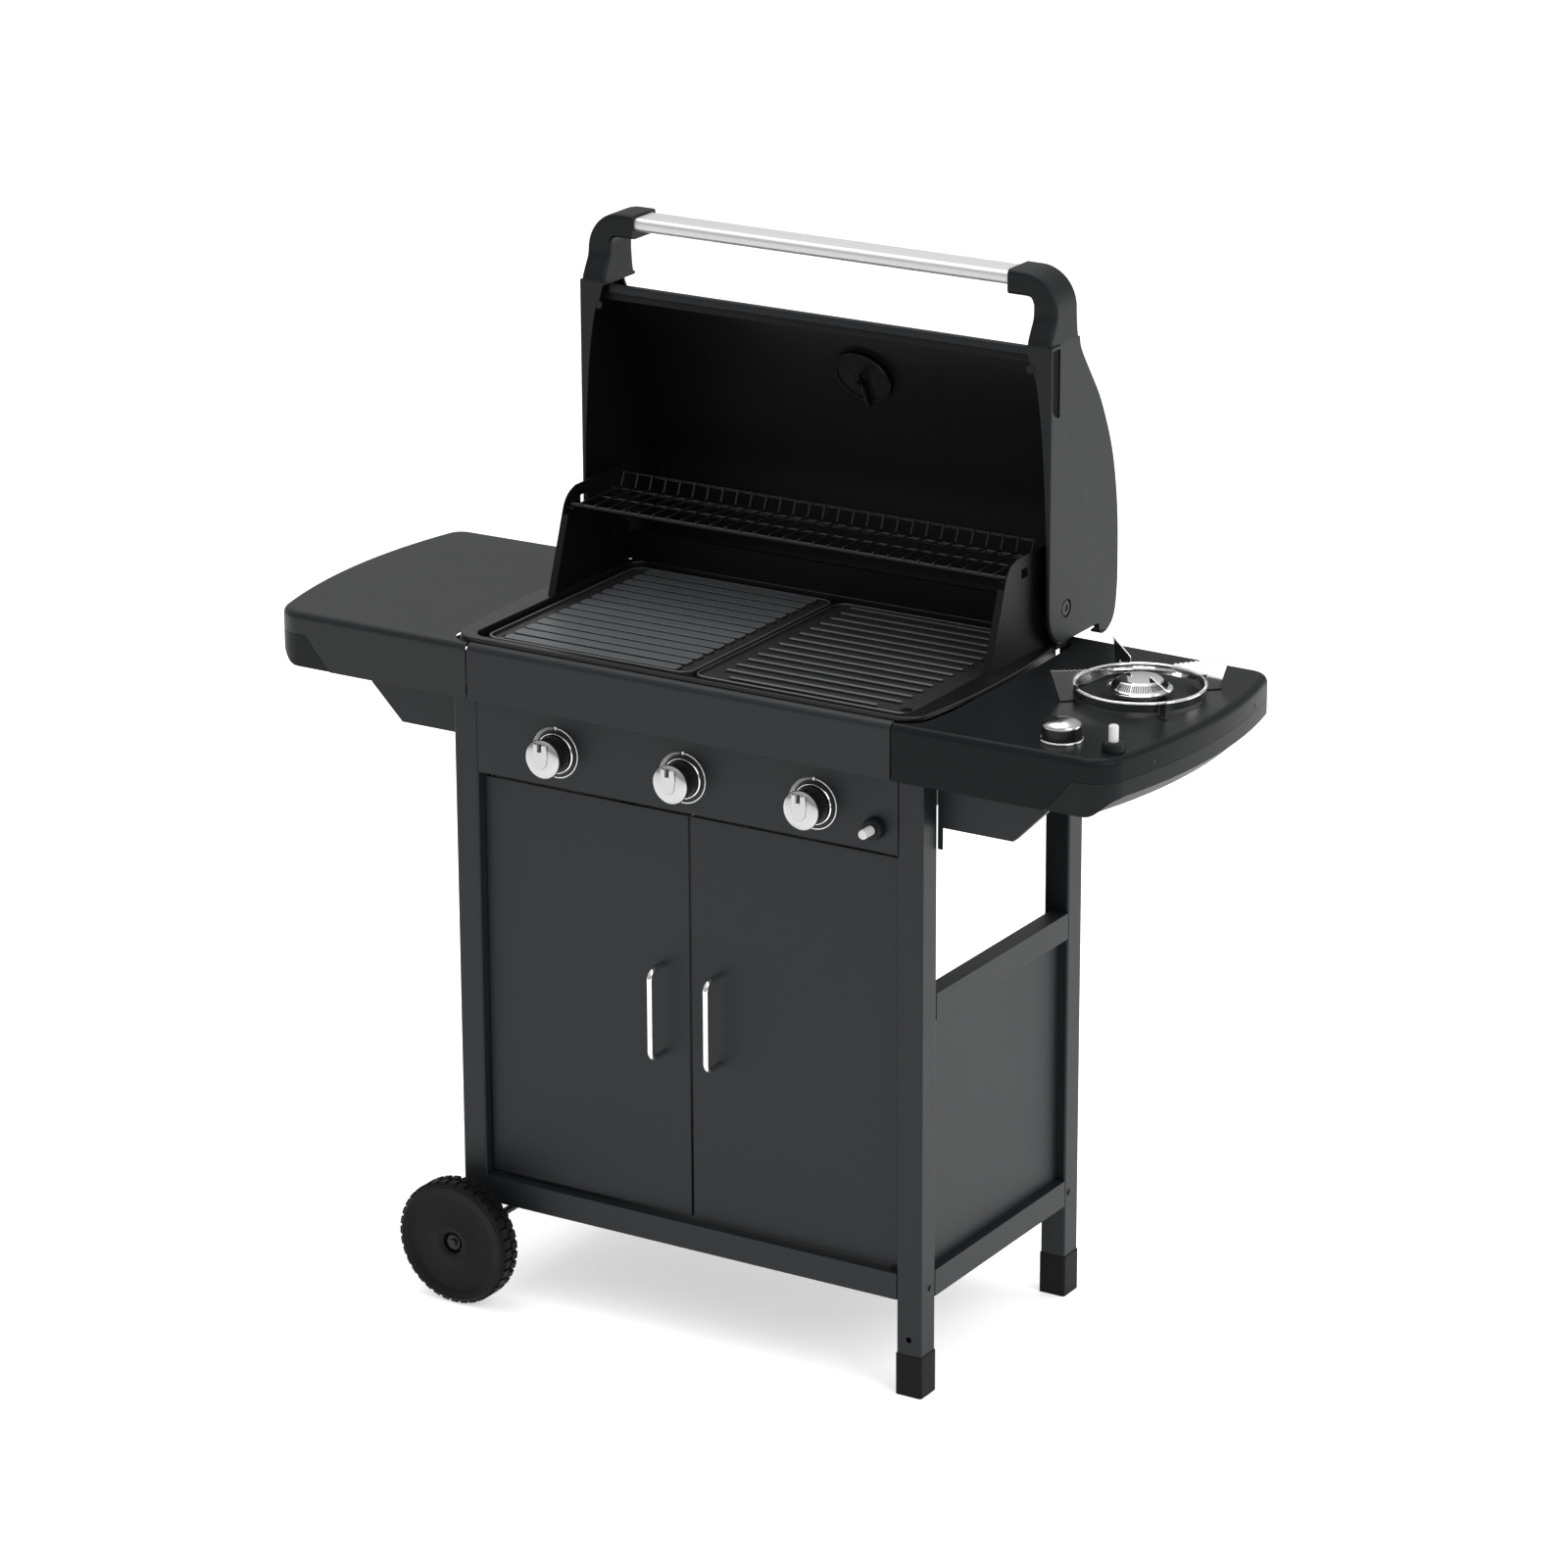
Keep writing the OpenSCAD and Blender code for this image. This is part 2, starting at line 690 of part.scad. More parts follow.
// Bent plate that props the shelf from the legs, with a slanted outer end
module bracket_side() {
    y = -leg_in_y;
    along_y(y, y + 2) polygon([
        [half_w, 740], [444, 740], [490, 786], [490, split_z], [half_w, split_z]
    ]);
    along_y(y, y + 14) polygon([[half_w, 740], [444, 740], [445, 742], [half_w, 742]]);
    along_y(y, y + 14) polygon([[444, 740], [490, 786], [490, 789], [442, 741]]);
    block([half_w, y, 712], [half_w + 7, y + 2, 742]);
    block([half_w, y, 742], [half_w + 2, y + 26, split_z]);
}

module shelf_brackets() color("#2b2c2e") placed() both_sides() front_and_back() bracket_side();

module shelf_screw_places() for (y = [-130, 120]) {
    a = asin((y - shelf_bow_y) / shelf_bow_r);
    translate([shelf_reach - shelf_bow_r, shelf_bow_y, split_z + 8]) rotate([0, 0, a])
        translate([shelf_bow_r, 0, 0]) rotate([0, -90, 0]) children();
}

module shelf_screws() color("#3c3d3f") placed() both_sides() shelf_screw_places() {
    translate([0, 0, 0.6]) cylinder(h = 6, r = 2.9);
    translate([0, 0, sheet]) cylinder(h = 2, r = 4.5);
}

// ---------------------------------------------------------------- side burner

module burner_ring() color("#d9dcdf") placed() translate([ring_c.x, ring_c.y, 0])
    rotate_extrude($fn = 120) {
        translate([79.5, 894.5]) circle(r = 2.5, $fn = 32);
        polygon([[78, 884], [79, 884], [81, 894], [80, 894]]);
    }

// Toothed plate: foot in the shelf, step over the ring, flared top
module pan_support() along_y(-0.6, 0.6) polygon(concat(
    [[40, 911], [50, 905.5], [66, 900], [84, 900], [84, 887], [83, shelf_z - 2], [101, shelf_z - 2],
        [101, 884], [104, 893], [113, 921]],
    [for (i = [0:22]) [113 - i * 3.2 - 1.6, (i % 2 == 0 ? 919.3 : 920.8) - i * 0.15]]
));

module pan_supports() color("#b9bcbf") placed() for (a = [45:90:315])
    translate([ring_c.x, ring_c.y, 0]) rotate([0, 0, a]) pan_support();

module side_burner_head() color("#8e9194") placed() translate([ring_c.x, ring_c.y, 0])
    difference() {
        union() {
            translate([0, 0, 866]) cylinder(h = 20, r = 20);
            translate([0, 0, 884]) cylinder(h = 5, r = 34, $fn = 96);
            translate([0, 0, 846]) cylinder(h = 20, r = 9);
        }
        translate([0, 0, 840]) cylinder(h = 44, r = 6);
    }

module side_burner_cap() color("#c9ccd0") placed() translate([ring_c.x, ring_c.y, 0])
    rotate_extrude($fn = 96)
        polygon([[0, 889], [40, 889], [40, 891.5], [36, 893], [25.5, 903], [24, 904], [0, 904]]);

module side_feed_pipe() color("#b08d4a") placed() {
    rod_z(side_knob_c.x + 1, side_knob_c.y, 820, 836, 4);
    rod_y(side_knob_c.x + 1, side_knob_c.y, ring_c.y, 820, 4);
    rod_z(side_knob_c.x + 1, ring_c.y, 820, 846, 4);
}

// ---------------------------------------------------------------- doors

door_front_y = -187;
door_top_z = 699.5;
door_in_x = 1.7;
door_edge_x = leg_in_x - 2;
door_pin_x = door_edge_x - 8;
door_pin_y = door_front_y + 5;
pin_r = 3;

module door_blank() difference() {
    union() {
        block([door_in_x, door_front_y, door_z], [door_edge_x, door_front_y + sheet, door_top_z]);
        block([door_in_x, door_front_y, door_z], [door_in_x + sheet, door_front_y + door_t, door_top_z]);
        block([door_edge_x - sheet, door_front_y, door_z], [door_edge_x, door_front_y + door_t, door_top_z]);
        block([door_in_x, door_front_y, door_z], [door_edge_x, door_front_y + door_t, door_z + sheet]);
        block([door_in_x, door_front_y, door_top_z - sheet],
            [door_edge_x, door_front_y + door_t, door_top_z]);
    }
    rod_z(door_pin_x, door_pin_y, door_z - 1, door_top_z + 1, pin_r + fit);
}

module door_right() color("#2b2c2e") placed() door_blank();

module door_left() color("#2b2c2e") placed() mirror([1, 0, 0]) door_blank();

module door_hinge_pins() color("#8d9093") placed() both_sides() {
    rod_z(door_pin_x, door_pin_y, bottom_rail_top, door_z + 9, pin_r);
    rod_z(door_pin_x, door_pin_y, door_top_z - 9, panel_z + 2, pin_r);
    block([door_pin_x - 6, door_pin_y - 5, panel_z], [leg_in_x - sheet, door_pin_y + 7, panel_z + 2]);
    block([door_pin_x - 6, door_pin_y - 5, bottom_rail_top], [leg_in_x, door_pin_y + 7, door_z - 2]);
}

handle_x = 41;
handle_mid_z = 438;
handle_r = 4;
handle_out = 30;

// Bent round bar: two feet and a grip joined by rounded corners
module door_handle() {
    bend = 12;
    for (side = [-1, 1]) {
        z = handle_mid_z + side * door_handle_l / 2;
        rod_y(handle_x, door_front_y - handle_out + bend, door_front_y, z, handle_r);
        translate([handle_x, door_front_y - handle_out + bend, z - side * bend])
            rotate([0, -90, 0]) rotate([0, 0, side > 0 ? 270 : 180])
                rotate_extrude(angle = 90) translate([bend, 0]) circle(r = handle_r, $fn = 32);
    }
    rod_z(handle_x, door_front_y - handle_out, handle_mid_z - door_handle_l / 2 + bend,
        handle_mid_z + door_handle_l / 2 - bend, handle_r);
}

module door_handle_right() color("#d9dcdf") placed() door_handle();

module door_handle_left() color("#d9dcdf") placed() mirror([1, 0, 0]) door_handle();

// ---------------------------------------------------------------- lid

// Outline of the lid's side casting, from the crown down the back
back_outline = curve([
    [176.3, cast_top_z], [181, 1255], [204, 1221], [228, 1187], [248, 1148],
    [263, 1110], [273, 1070], [280, 1020], [282, 965], [281, 925], [275, 893], [261, 878], [243, 874]
], 4);

function hinge_arc(r, from, to, n) = [
    for (i = [0:n]) let (a = from + (to - from) * i / n)
        [hinge_y + r * cos(a), hinge_z + r * sin(a)]
];

module cast_outline() polygon(concat(
    back_outline,
    [[238, 876], [234, 890]],
    hinge_arc(44.3, 255, 180, 8),
    [[lid_front_y, hinge_z + 6], [lid_front_y, cast_top_z]]
));

// Line of the sheet between the castings
skin_line = curve([
    [114, 1248], [117, 1262], [124, 1265], [156, 1252], [190, 1228], [217, 1192], [241, 1146],
    [256, 1108], [266, 1070], [274, 1020], [276.5, 965], [276, 927], [270, 897], [258, 884], [244, 881]
], 4);

module lid_skin() color("#1a1a1b") placed() difference() {
    along_x(-cast_in_x, cast_in_x) polygon(concat(skin_line, backwards(inset(skin_line, -sheet))));
    gauge_place() translate([0, 0, -20]) cylinder(h = 40, r = 5);
}

module lid_side() {
    difference() {
        union() {
            along_x(cast_in_x, lid_half_w) cast_outline();
            along_x(cast_in_x - 14, cast_in_x)
                polygon(concat(back_outline, backwards(inset(back_outline, -2.6))));
            front_flange();
            block([crown_in_x, lid_front_y, cast_top_z - cast_t], [cast_in_x, 176, cast_top_z]);
        }
        rod_x(lid_half_w - 2, lid_half_w + 1, hinge_y, hinge_z, 12);
        rod_x(330, lid_half_w + 1, hinge_y, hinge_z, 6 + fit);
    }
}

// Flange round the mouth of the lid, wide at the crown and narrow at the hinge
module front_flange() along_y(lid_front_y, lid_front_y + 4) polygon(concat(
    [[cast_in_x, cast_top_z]],
    curve([
        [crown_in_x, cast_top_z], [312, 1250], [320, 1230], [328, 1175], [333, 1110], [336, 1050],
        [338, 960]
    ], 3)
));

module lid_side_right() color("#3a3b3d") placed() lid_side();

module lid_side_left() color("#3a3b3d") placed() mirror([1, 0, 0]) lid_side();

module handle_bar() color("#dfe1e3") placed() along_x(-arm_x, arm_x)
    translate([144, handle_z]) rounded_square([48, 17], 7);

// Moulded elbow between a side casting and the bar: its front view cut by its side view
arm_x = 271;
elbow_c = [292, 1309];
elbow_r = lid_half_w - elbow_c.x;
module handle_bracket() intersection() {
    along_y(100, 180) polygon(concat(
        [[lid_half_w, cast_top_z]],
        [for (i = [0:12]) elbow_c + elbow_r * [cos(i * 7.5), sin(i * 7.5)]],
        [[arm_x, elbow_c.y + elbow_r], [arm_x, 1328]],
        curve([[296, 1328], [303, 1326], [306.5, 1318]], 3),
        [[306.5, cast_top_z]]
    ));
    along_x(260, 350) polygon(concat(
        curve([[102, cast_top_z], [103, 1278], [109, 1290], [115, 1301], [116.5, 1310]], 3),
        [[116.5, 1365], [172, 1365]],
        curve([[172, 1303], [174, 1283], [176.3, cast_top_z]], 3)
    ));
}

module handle_brackets() color("#1c1c1d") placed() both_sides() handle_bracket();

gauge_y = 233;
gauge_z = 1166;
module gauge_place() translate([2, gauge_y, gauge_z]) rotate([-62, 0, 0]) children();

module gauge() color("#26272a") placed() gauge_place() {
    translate([0, 0, -24]) cylinder(h = 26, r = 3.5);
    translate([0, 0, -10]) cylinder(h = 20, r = 5 - fit);
    translate([0, 0, -9]) cylinder(h = 3, r = 40, $fn = 96);
    translate([0, 0, 5]) cylinder(h = 9, r = 34, $fn = 96);
}

module lid_bumpers() color("#141415") placed() both_sides()
    rod_y(313, lid_front_y - bumper_t, lid_front_y, 1243, 5.5);

module lid_bolts() color("#3c3d3f") placed() both_sides() {
    rod_x(324, lid_half_w - 2, hinge_y, hinge_z, 6);
    rod_x(lid_half_w - 2, lid_half_w - 0.5, hinge_y, hinge_z, 9);
}

// ---------------------------------------------------------------- show

legs_left();
legs_right();
foot_caps();
rails();
side_panels();
bottom_panel();
control_panel();
front_fascia();
firebox();
windbreaks();
back_wall();
burner_tubes();
flame_tamers();
gas_manifold();
gas_valves();
knob_bezels();
igniter_bases();
shelf_left();
shelf_right();
shelf_trims();
shelf_brackets();
burner_ring();
pan_supports();
side_burner_head();
side_burner_cap();
side_feed_pipe();
axle();
axle_caps();
frame_screws();
shelf_screws();
door_hinge_pins();
tray_runners();
lid_skin();
lid_side_left();
lid_side_right();
handle_bar();
handle_brackets();
gauge();
lid_bumpers();
lid_bolts();
door_left();
door_right();
door_handle_left();
door_handle_right();
stem_left();
stem_middle();
stem_right();
stem_side();
knob_left();
knob_middle();
knob_right();
knob_side();
button_front();
button_side();
wheel_front();
wheel_back();
cooking_grate();
griddle();
warming_rack();
grease_tray();
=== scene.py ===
import json
import math

import bmesh
import bpy
from mathutils import Matrix, Vector


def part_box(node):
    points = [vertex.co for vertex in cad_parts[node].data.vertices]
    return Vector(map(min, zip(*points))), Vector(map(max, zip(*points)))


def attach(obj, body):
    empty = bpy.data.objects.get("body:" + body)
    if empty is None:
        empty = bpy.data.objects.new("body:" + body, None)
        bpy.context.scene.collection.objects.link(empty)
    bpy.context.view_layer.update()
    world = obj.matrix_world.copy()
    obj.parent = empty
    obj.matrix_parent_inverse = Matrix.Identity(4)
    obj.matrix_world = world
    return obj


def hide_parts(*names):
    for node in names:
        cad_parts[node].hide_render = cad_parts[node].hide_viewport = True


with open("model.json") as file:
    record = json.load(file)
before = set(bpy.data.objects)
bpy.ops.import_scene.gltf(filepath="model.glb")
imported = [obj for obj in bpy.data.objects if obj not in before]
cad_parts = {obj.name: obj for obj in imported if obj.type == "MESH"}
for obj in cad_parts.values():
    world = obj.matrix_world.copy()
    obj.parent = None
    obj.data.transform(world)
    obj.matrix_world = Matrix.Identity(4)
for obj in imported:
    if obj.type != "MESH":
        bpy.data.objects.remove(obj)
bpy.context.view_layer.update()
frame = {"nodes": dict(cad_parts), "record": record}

MM = 0.001
FULL_TURN = 2 * math.pi
SMOOTH_ANGLE = math.radians(32)
CASTING_ANGLE = math.radians(14)
TURNING_STEPS = 96
RECORD = frame["record"]
BODY_OF = {node: body for body, nodes in RECORD["behaviour"]["bodies"].items() for node in nodes}
SLOT_OF = {part["node"]: part["material_slot"] for part in RECORD["subparts"]}


def middle(node):
    """Centre of a CAD node's box."""
    return (low(node) + high(node)) / 2


def low(node):
    """Left, front, bottom corner of a CAD node's box."""
    return Vector(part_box(node)[0])


def high(node):
    """Right, back, top corner of a CAD node's box."""
    return Vector(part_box(node)[1])


# Depths in this file are measured from the middle of the cart, heights from the floor.
CART_Y = middle("rails").y
SHELF_TOP = high("shelf_left").z
PANEL_FRONT = low("control_panel").y


# ------------------------------------------------------------------ finishes


class Value:
    """Something that varies over a surface. Arithmetic on it adds the nodes for it."""

    def __init__(self, finish, socket):
        self.finish = finish
        self.socket = socket

    def math(self, operation, first, second):
        return self.finish.node("ShaderNodeMath", {"operation": operation}, {0: first, 1: second})

    def __add__(self, other):
        return self.math("ADD", self, other)

    def __radd__(self, other):
        return self.math("ADD", other, self)

    def __mul__(self, other):
        return self.math("MULTIPLY", self, other)

    def __rmul__(self, other):
        return self.math("MULTIPLY", other, self)


class Finish:
    """A material with one Principled shader and the nodes that feed it."""

    def __init__(self, name, **constants):
        self.material = bpy.data.materials.new(name)
        self.material.use_nodes = True
        self.tree = self.material.node_tree
        self.shader = self.tree.nodes["Principled BSDF"]
        for socket, value in constants.items():
            self.shader.inputs[socket.replace("_", " ")].default_value = value

    def node(self, kind, settings, inputs, output=0):
        made = self.tree.nodes.new(kind)
        for key, value in settings.items():
            setattr(made, key, value)
        for key, value in inputs.items():
            if isinstance(value, Value):
                self.tree.links.new(value.socket, made.inputs[key])
            else:
                made.inputs[key].default_value = value
        return Value(self, made.outputs[output])

    def feed(self, socket, value):
        self.tree.links.new(value.socket, self.shader.inputs[socket])

    def place(self, stretch=(1, 1, 1)):
        """Object coordinates, stretched for patterns that run along one axis."""
        here = self.node("ShaderNodeTexCoord", {}, {}, output=3)
        return self.node("ShaderNodeMapping", {}, {"Vector": here, "Scale": stretch})

    def noise(self, scale, detail=2.0, stretch=(1, 1, 1)):
        inputs = {"Vector": self.place(stretch), "Scale": scale, "Detail": detail}
        return self.node("ShaderNodeTexNoise", {}, inputs)

    def blend_colours(self, factor, first, second):
        inputs = {0: factor, 6: (*first, 1), 7: (*second, 1)}
        return self.node("ShaderNodeMix", {"data_type": "RGBA"}, inputs, output=2)

    def bump(self, height, strength, depth):
        inputs = {"Height": height, "Strength": strength, "Distance": depth}
        self.feed("Normal", self.node("ShaderNodeBump", {}, inputs))


def grained_finish(name, colours, roughness, grain, bump, **constants):
    """Paint, enamel or plastic: two close shades in soft clouds over a fine grain."""
    finish = Finish(name, **constants)
    clouds = finish.noise(9.0, 3.0)
    finish.feed("Base Color", finish.blend_colours(clouds, *colours))
    fine = finish.noise(grain, 2.0)
    spread = roughness[1] - roughness[0]
    finish.feed("Roughness", roughness[0] + spread * (0.6 * clouds + 0.4 * fine))
    finish.bump(fine, bump[0], bump[1])
    return finish.material


def brushed_finish(name, colours, roughness, stretch, strength, **constants):
    """Metal with fine lines along one axis."""
    finish = Finish(name, Metallic=1.0, **constants)
    lines = finish.noise(60.0, 3.0, stretch)
    finish.feed("Base Color", finish.blend_colours(lines, *colours))
    finish.feed("Roughness", roughness[0] + (roughness[1] - roughness[0]) * lines)
    finish.bump(lines, strength, 0.02 * MM)
    return finish.material


def grey(value, warmth=0.0):
    """A shade of grey; a negative warmth makes it bluish."""
    return (value * (1 + warmth), value, value * (1 - warmth))


def make_finishes():
    """Every finish on the grill, under the name that the pieces ask for."""
    return {
        "powder coat": grained_finish("powder coat", (grey(0.0092, -0.12), grey(0.0112, -0.12)),
            (0.42, 0.52), 1400.0, (0.10, 0.03 * MM), Specular_IOR_Level=0.27),
        "shelf coat": grained_finish("shelf coat", (grey(0.0058, -0.12), grey(0.0072, -0.12)),
            (0.38, 0.46), 1400.0, (0.10, 0.03 * MM), Specular_IOR_Level=0.30),
        "gloss coat": grained_finish("gloss coat", (grey(0.0088, -0.06), grey(0.0104, -0.06)),
            (0.30, 0.38), 900.0, (0.05, 0.02 * MM), Specular_IOR_Level=0.06),
        "enamel": grained_finish("enamel", (grey(0.0016), grey(0.0024)),
            (0.42, 0.55), 700.0, (0.10, 0.04 * MM), Specular_IOR_Level=0.20),
        # Dull black for the sheet on the floor of the lid's recess: painted shade.
        "painted recess shade": grained_finish("painted recess shade", (grey(0.0016), grey(0.0024)),
            (0.55, 0.65), 700.0, (0.10, 0.04 * MM), Specular_IOR_Level=0.05),
        "rim enamel": grained_finish("rim enamel", (grey(0.0040), grey(0.0060)),
            (0.26, 0.36), 700.0, (0.10, 0.04 * MM), Specular_IOR_Level=0.30),
        "rack enamel": grained_finish("rack enamel", (grey(0.0040), grey(0.0060)),
            (0.26, 0.34), 900.0, (0.10, 0.04 * MM), Specular_IOR_Level=0.30),
        "casting paint": grained_finish("casting paint", (grey(0.0076, -0.12), grey(0.0092, -0.12)),
            (0.42, 0.50), 1100.0, (0.12, 0.04 * MM), Specular_IOR_Level=0.20),
        "cast iron": grained_finish("cast iron", (grey(0.0120), grey(0.0170)),
            (0.42, 0.52), 500.0, (0.15, 0.04 * MM), Specular_IOR_Level=0.36),
        # Lighter, shinier iron for the rib tops: a painted highlight.
        "painted highlight iron": grained_finish("painted highlight iron", (grey(0.0640, -0.04), grey(0.0740, -0.04)),
            (0.38, 0.46), 500.0, (0.12, 0.03 * MM), Specular_IOR_Level=0.55),
        "moulded plastic": grained_finish("moulded plastic", (grey(0.0070, -0.08), grey(0.0090, -0.08)),
            (0.38, 0.46), 1500.0, (0.15, 0.03 * MM), Specular_IOR_Level=0.13),
        "foot plastic": grained_finish("foot plastic", (grey(0.0040), grey(0.0055)),
            (0.50, 0.60), 1500.0, (0.20, 0.04 * MM), Specular_IOR_Level=0.12),
        "knob black": grained_finish("knob black", (grey(0.0040), grey(0.0060)),
            (0.30, 0.38), 1500.0, (0.10, 0.03 * MM), Specular_IOR_Level=0.26),
        "tyre": grained_finish("tyre", (grey(0.0030), grey(0.0048)),
            (0.50, 0.64), 800.0, (0.25, 0.06 * MM), Specular_IOR_Level=0.14),
        "rubber": grained_finish("rubber", (grey(0.0060), grey(0.0090)),
            (0.60, 0.70), 900.0, (0.2, 0.05 * MM), Specular_IOR_Level=0.25),
        "dark screw": grained_finish("dark screw", (grey(0.0120), grey(0.0200)),
            (0.35, 0.45), 900.0, (0.1, 0.03 * MM), Metallic=0.4, Specular_IOR_Level=0.3),
        "white print": grained_finish("white print", (grey(0.74), grey(0.80)),
            (0.45, 0.55), 900.0, (0.05, 0.01 * MM)),
        "button tip": grained_finish("button tip", (grey(0.52), grey(0.60)),
            (0.25, 0.35), 600.0, (0.05, 0.02 * MM)),
        "chrome": brushed_finish("chrome", (grey(0.70), grey(0.80)),
            (0.05, 0.10), (1, 1, 1), 0.02),
        "knob chrome": brushed_finish("knob chrome", (grey(0.42), grey(0.50)),
            (0.16, 0.24), (1, 1, 1), 0.03),
        "plated sheet": brushed_finish("plated sheet", (grey(0.52), grey(0.64)),
            (0.08, 0.14), (1, 1, 4), 0.04),
        "bar aluminium": brushed_finish("bar aluminium", (grey(0.58), grey(0.64)),
            (0.42, 0.54), (0.05, 8, 8), 0.08),
        "zinc steel": brushed_finish("zinc steel", (grey(0.48), grey(0.60)),
            (0.28, 0.42), (1, 1, 1), 0.08),
        "galvanised sheet": brushed_finish("galvanised sheet", (grey(0.42), grey(0.58)),
            (0.30, 0.48), (1, 1, 1), 0.10),
        "brass": brushed_finish("brass", ((0.62, 0.45, 0.20), (0.70, 0.52, 0.25)),
            (0.22, 0.34), (1, 1, 1), 0.05),
    }


FINISHES = make_finishes()


# ------------------------------------------------------------------ making pieces


def weld(bm, distance=0.002 * MM):
    bmesh.ops.remove_doubles(bm, verts=bm.verts, dist=distance)


def from_node(node):
    """The CAD node's shape, welded, with each flat stretch joined into one face."""
    bm = bmesh.new()
    bm.from_mesh(frame["nodes"][node].data)
    weld(bm)
    bmesh.ops.dissolve_limit(bm, angle_limit=math.radians(1), verts=bm.verts, edges=bm.edges)
    return bm


def shade(bm, angle=SMOOTH_ANGLE):
    """Smooth shading, broken at edges sharper than the angle."""
    for face in bm.faces:
        face.smooth = True
    for edge in bm.edges:
        edge.smooth = len(edge.link_faces) == 2 and edge.calc_face_angle(0) < angle


def make_piece(name, bm, finish, body, slot, *nodes):
    """Turns a finished bmesh into a piece of the grill, in place of the nodes given."""
    mesh = bpy.data.meshes.new(name)
    bm.to_mesh(mesh)
    bm.free()
    mesh.materials.append(FINISHES[finish])
    piece = bpy.data.objects.new(name, mesh)
    bpy.context.scene.collection.objects.link(piece)
    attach(piece, body)
    if nodes:
        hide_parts(*nodes)
    return piece


def keep_flats_flat(piece):
    """Lets the large faces decide the shading, so that only the rounded edges shade round."""
    weighted = piece.modifiers.new("flat faces", "WEIGHTED_NORMAL")
    weighted.keep_sharp = True
    weighted.weight = 100


def shaded_piece(name, bm, finish, body, slot, *nodes):
    """A piece with smooth bends, sharp corners and flat flats."""
    shade(bm)
    keep_flats_flat(make_piece(name, bm, finish, body, slot, *nodes))


def softened_node(node, finish, radius):
    """A CAD node shown with its edges rounded by a small bevel."""
    bm = from_node(node)
    for face in bm.faces:
        face.smooth = True
    piece = make_piece(node + "_finished", bm, finish, BODY_OF[node], SLOT_OF[node], node)
    bevel = piece.modifiers.new("soft edges", "BEVEL")
    bevel.width = radius
    bevel.segments = 2
    bevel.limit_method = "ANGLE"
    bevel.angle_limit = SMOOTH_ANGLE
    bevel.use_clamp_overlap = False
    keep_flats_flat(piece)


def baked(piece):
    """The piece's mesh with its modifiers applied."""
    shown = piece.evaluated_get(bpy.context.evaluated_depsgraph_get())
    return bpy.data.meshes.new_from_object(shown)


def scratch_object(bm):
    """A helper object for cutting, removed again afterwards."""
    mesh = bpy.data.meshes.new("scratch")
    bm.to_mesh(mesh)
    bm.free()
    made = bpy.data.objects.new("scratch", mesh)
    bpy.context.scene.collection.objects.link(made)
    return made


def cut_away(bm, cutters):
    """The shape with the cutters' volumes taken out."""
    body = scratch_object(bm)
    tools = [scratch_object(cutter) for cutter in cutters]
    for tool in tools:
        cut = body.modifiers.new("cut", "BOOLEAN")
        cut.operation = "DIFFERENCE"
        cut.solver = "EXACT"
        cut.object = tool
    result = bmesh.new()
    result.from_mesh(baked(body))
    for scratch in [body, *tools]:
        bpy.data.objects.remove(scratch)
    return result


def turned(points, centre, axis):
    """A closed turned shape: points are (radius, distance along the axis) pairs in millimetres."""
    bm = bmesh.new()
    start = Vector((1, 0, 0))
    verts = [bm.verts.new(centre + start * radius + axis * along) for radius, along in scaled(points)]
    edges = [bm.edges.new(pair) for pair in zip(verts, verts[1:])]
    bmesh.ops.spin(bm, geom=verts + edges, cent=centre, axis=axis, angle=FULL_TURN,
        steps=TURNING_STEPS, use_merge=True)
    weld(bm, 0.01 * MM)
    bmesh.ops.recalc_face_normals(bm, faces=bm.faces)
    return bm


def rod(start, end, radius, sides=16):
    """A straight closed rod between two points."""
    bm = bmesh.new()
    reach = end - start
    turn = reach.to_track_quat("Z", "Y").to_matrix().to_4x4()
    place = Matrix.Translation((start + end) / 2) @ turn
    bmesh.ops.create_cone(bm, cap_ends=True, segments=sides, radius1=radius, radius2=radius,
        depth=reach.length, matrix=place)
    return bm


def slab(low_corner, high_corner):
    """A rectangular block between two corners."""
    bm = bmesh.new()
    size = high_corner - low_corner
    place = Matrix.Translation((low_corner + high_corner) / 2) @ Matrix.Diagonal((*size, 1))
    bmesh.ops.create_cube(bm, size=1, matrix=place)
    return bm


def join(parts):
    """One bmesh holding all the given ones."""
    whole = bmesh.new()
    for part in parts:
        mesh = bpy.data.meshes.new("scratch")
        part.to_mesh(mesh)
        part.free()
        whole.from_mesh(mesh)
        bpy.data.meshes.remove(mesh)
    return whole


def round_edges(bm, radius, segments, chosen):
    """Rounds the chosen edges."""
    bmesh.ops.bevel(bm, geom=chosen, offset=radius, offset_type="OFFSET", segments=segments,
        profile=0.5, affect="EDGES", clamp_overlap=False, material=-1)


def sharp_edges(bm, wanted):
    """Edges sharper than the smoothing angle that pass a test on their two ends."""
    return [edge for edge in bm.edges
        if edge.calc_face_angle(0) > SMOOTH_ANGLE and wanted(*[v.co for v in edge.verts])]


def near(value, target):
    """Whether two positions are the same to within a fiftieth of a millimetre."""
    return abs(value - target) < 0.02 * MM


def scaled(points):
    """An outline given in millimetres, in metres."""
    return [(a * MM, b * MM) for a, b in points]


def side_outline(points):
    """An outline of (depth, height) in millimetres on the side of the cart, in metres."""
    return [(y * MM + CART_Y, z * MM) for y, z in points]


def top_edges(bm, top):
    """Sharp edges that lie at one height."""
    return sharp_edges(bm, lambda a, b: near(a.z, top) and near(b.z, top))


def span(face, axis):
    """Length of a face along one axis."""
    places = [v.co[axis] for v in face.verts]
    return max(places) - min(places)


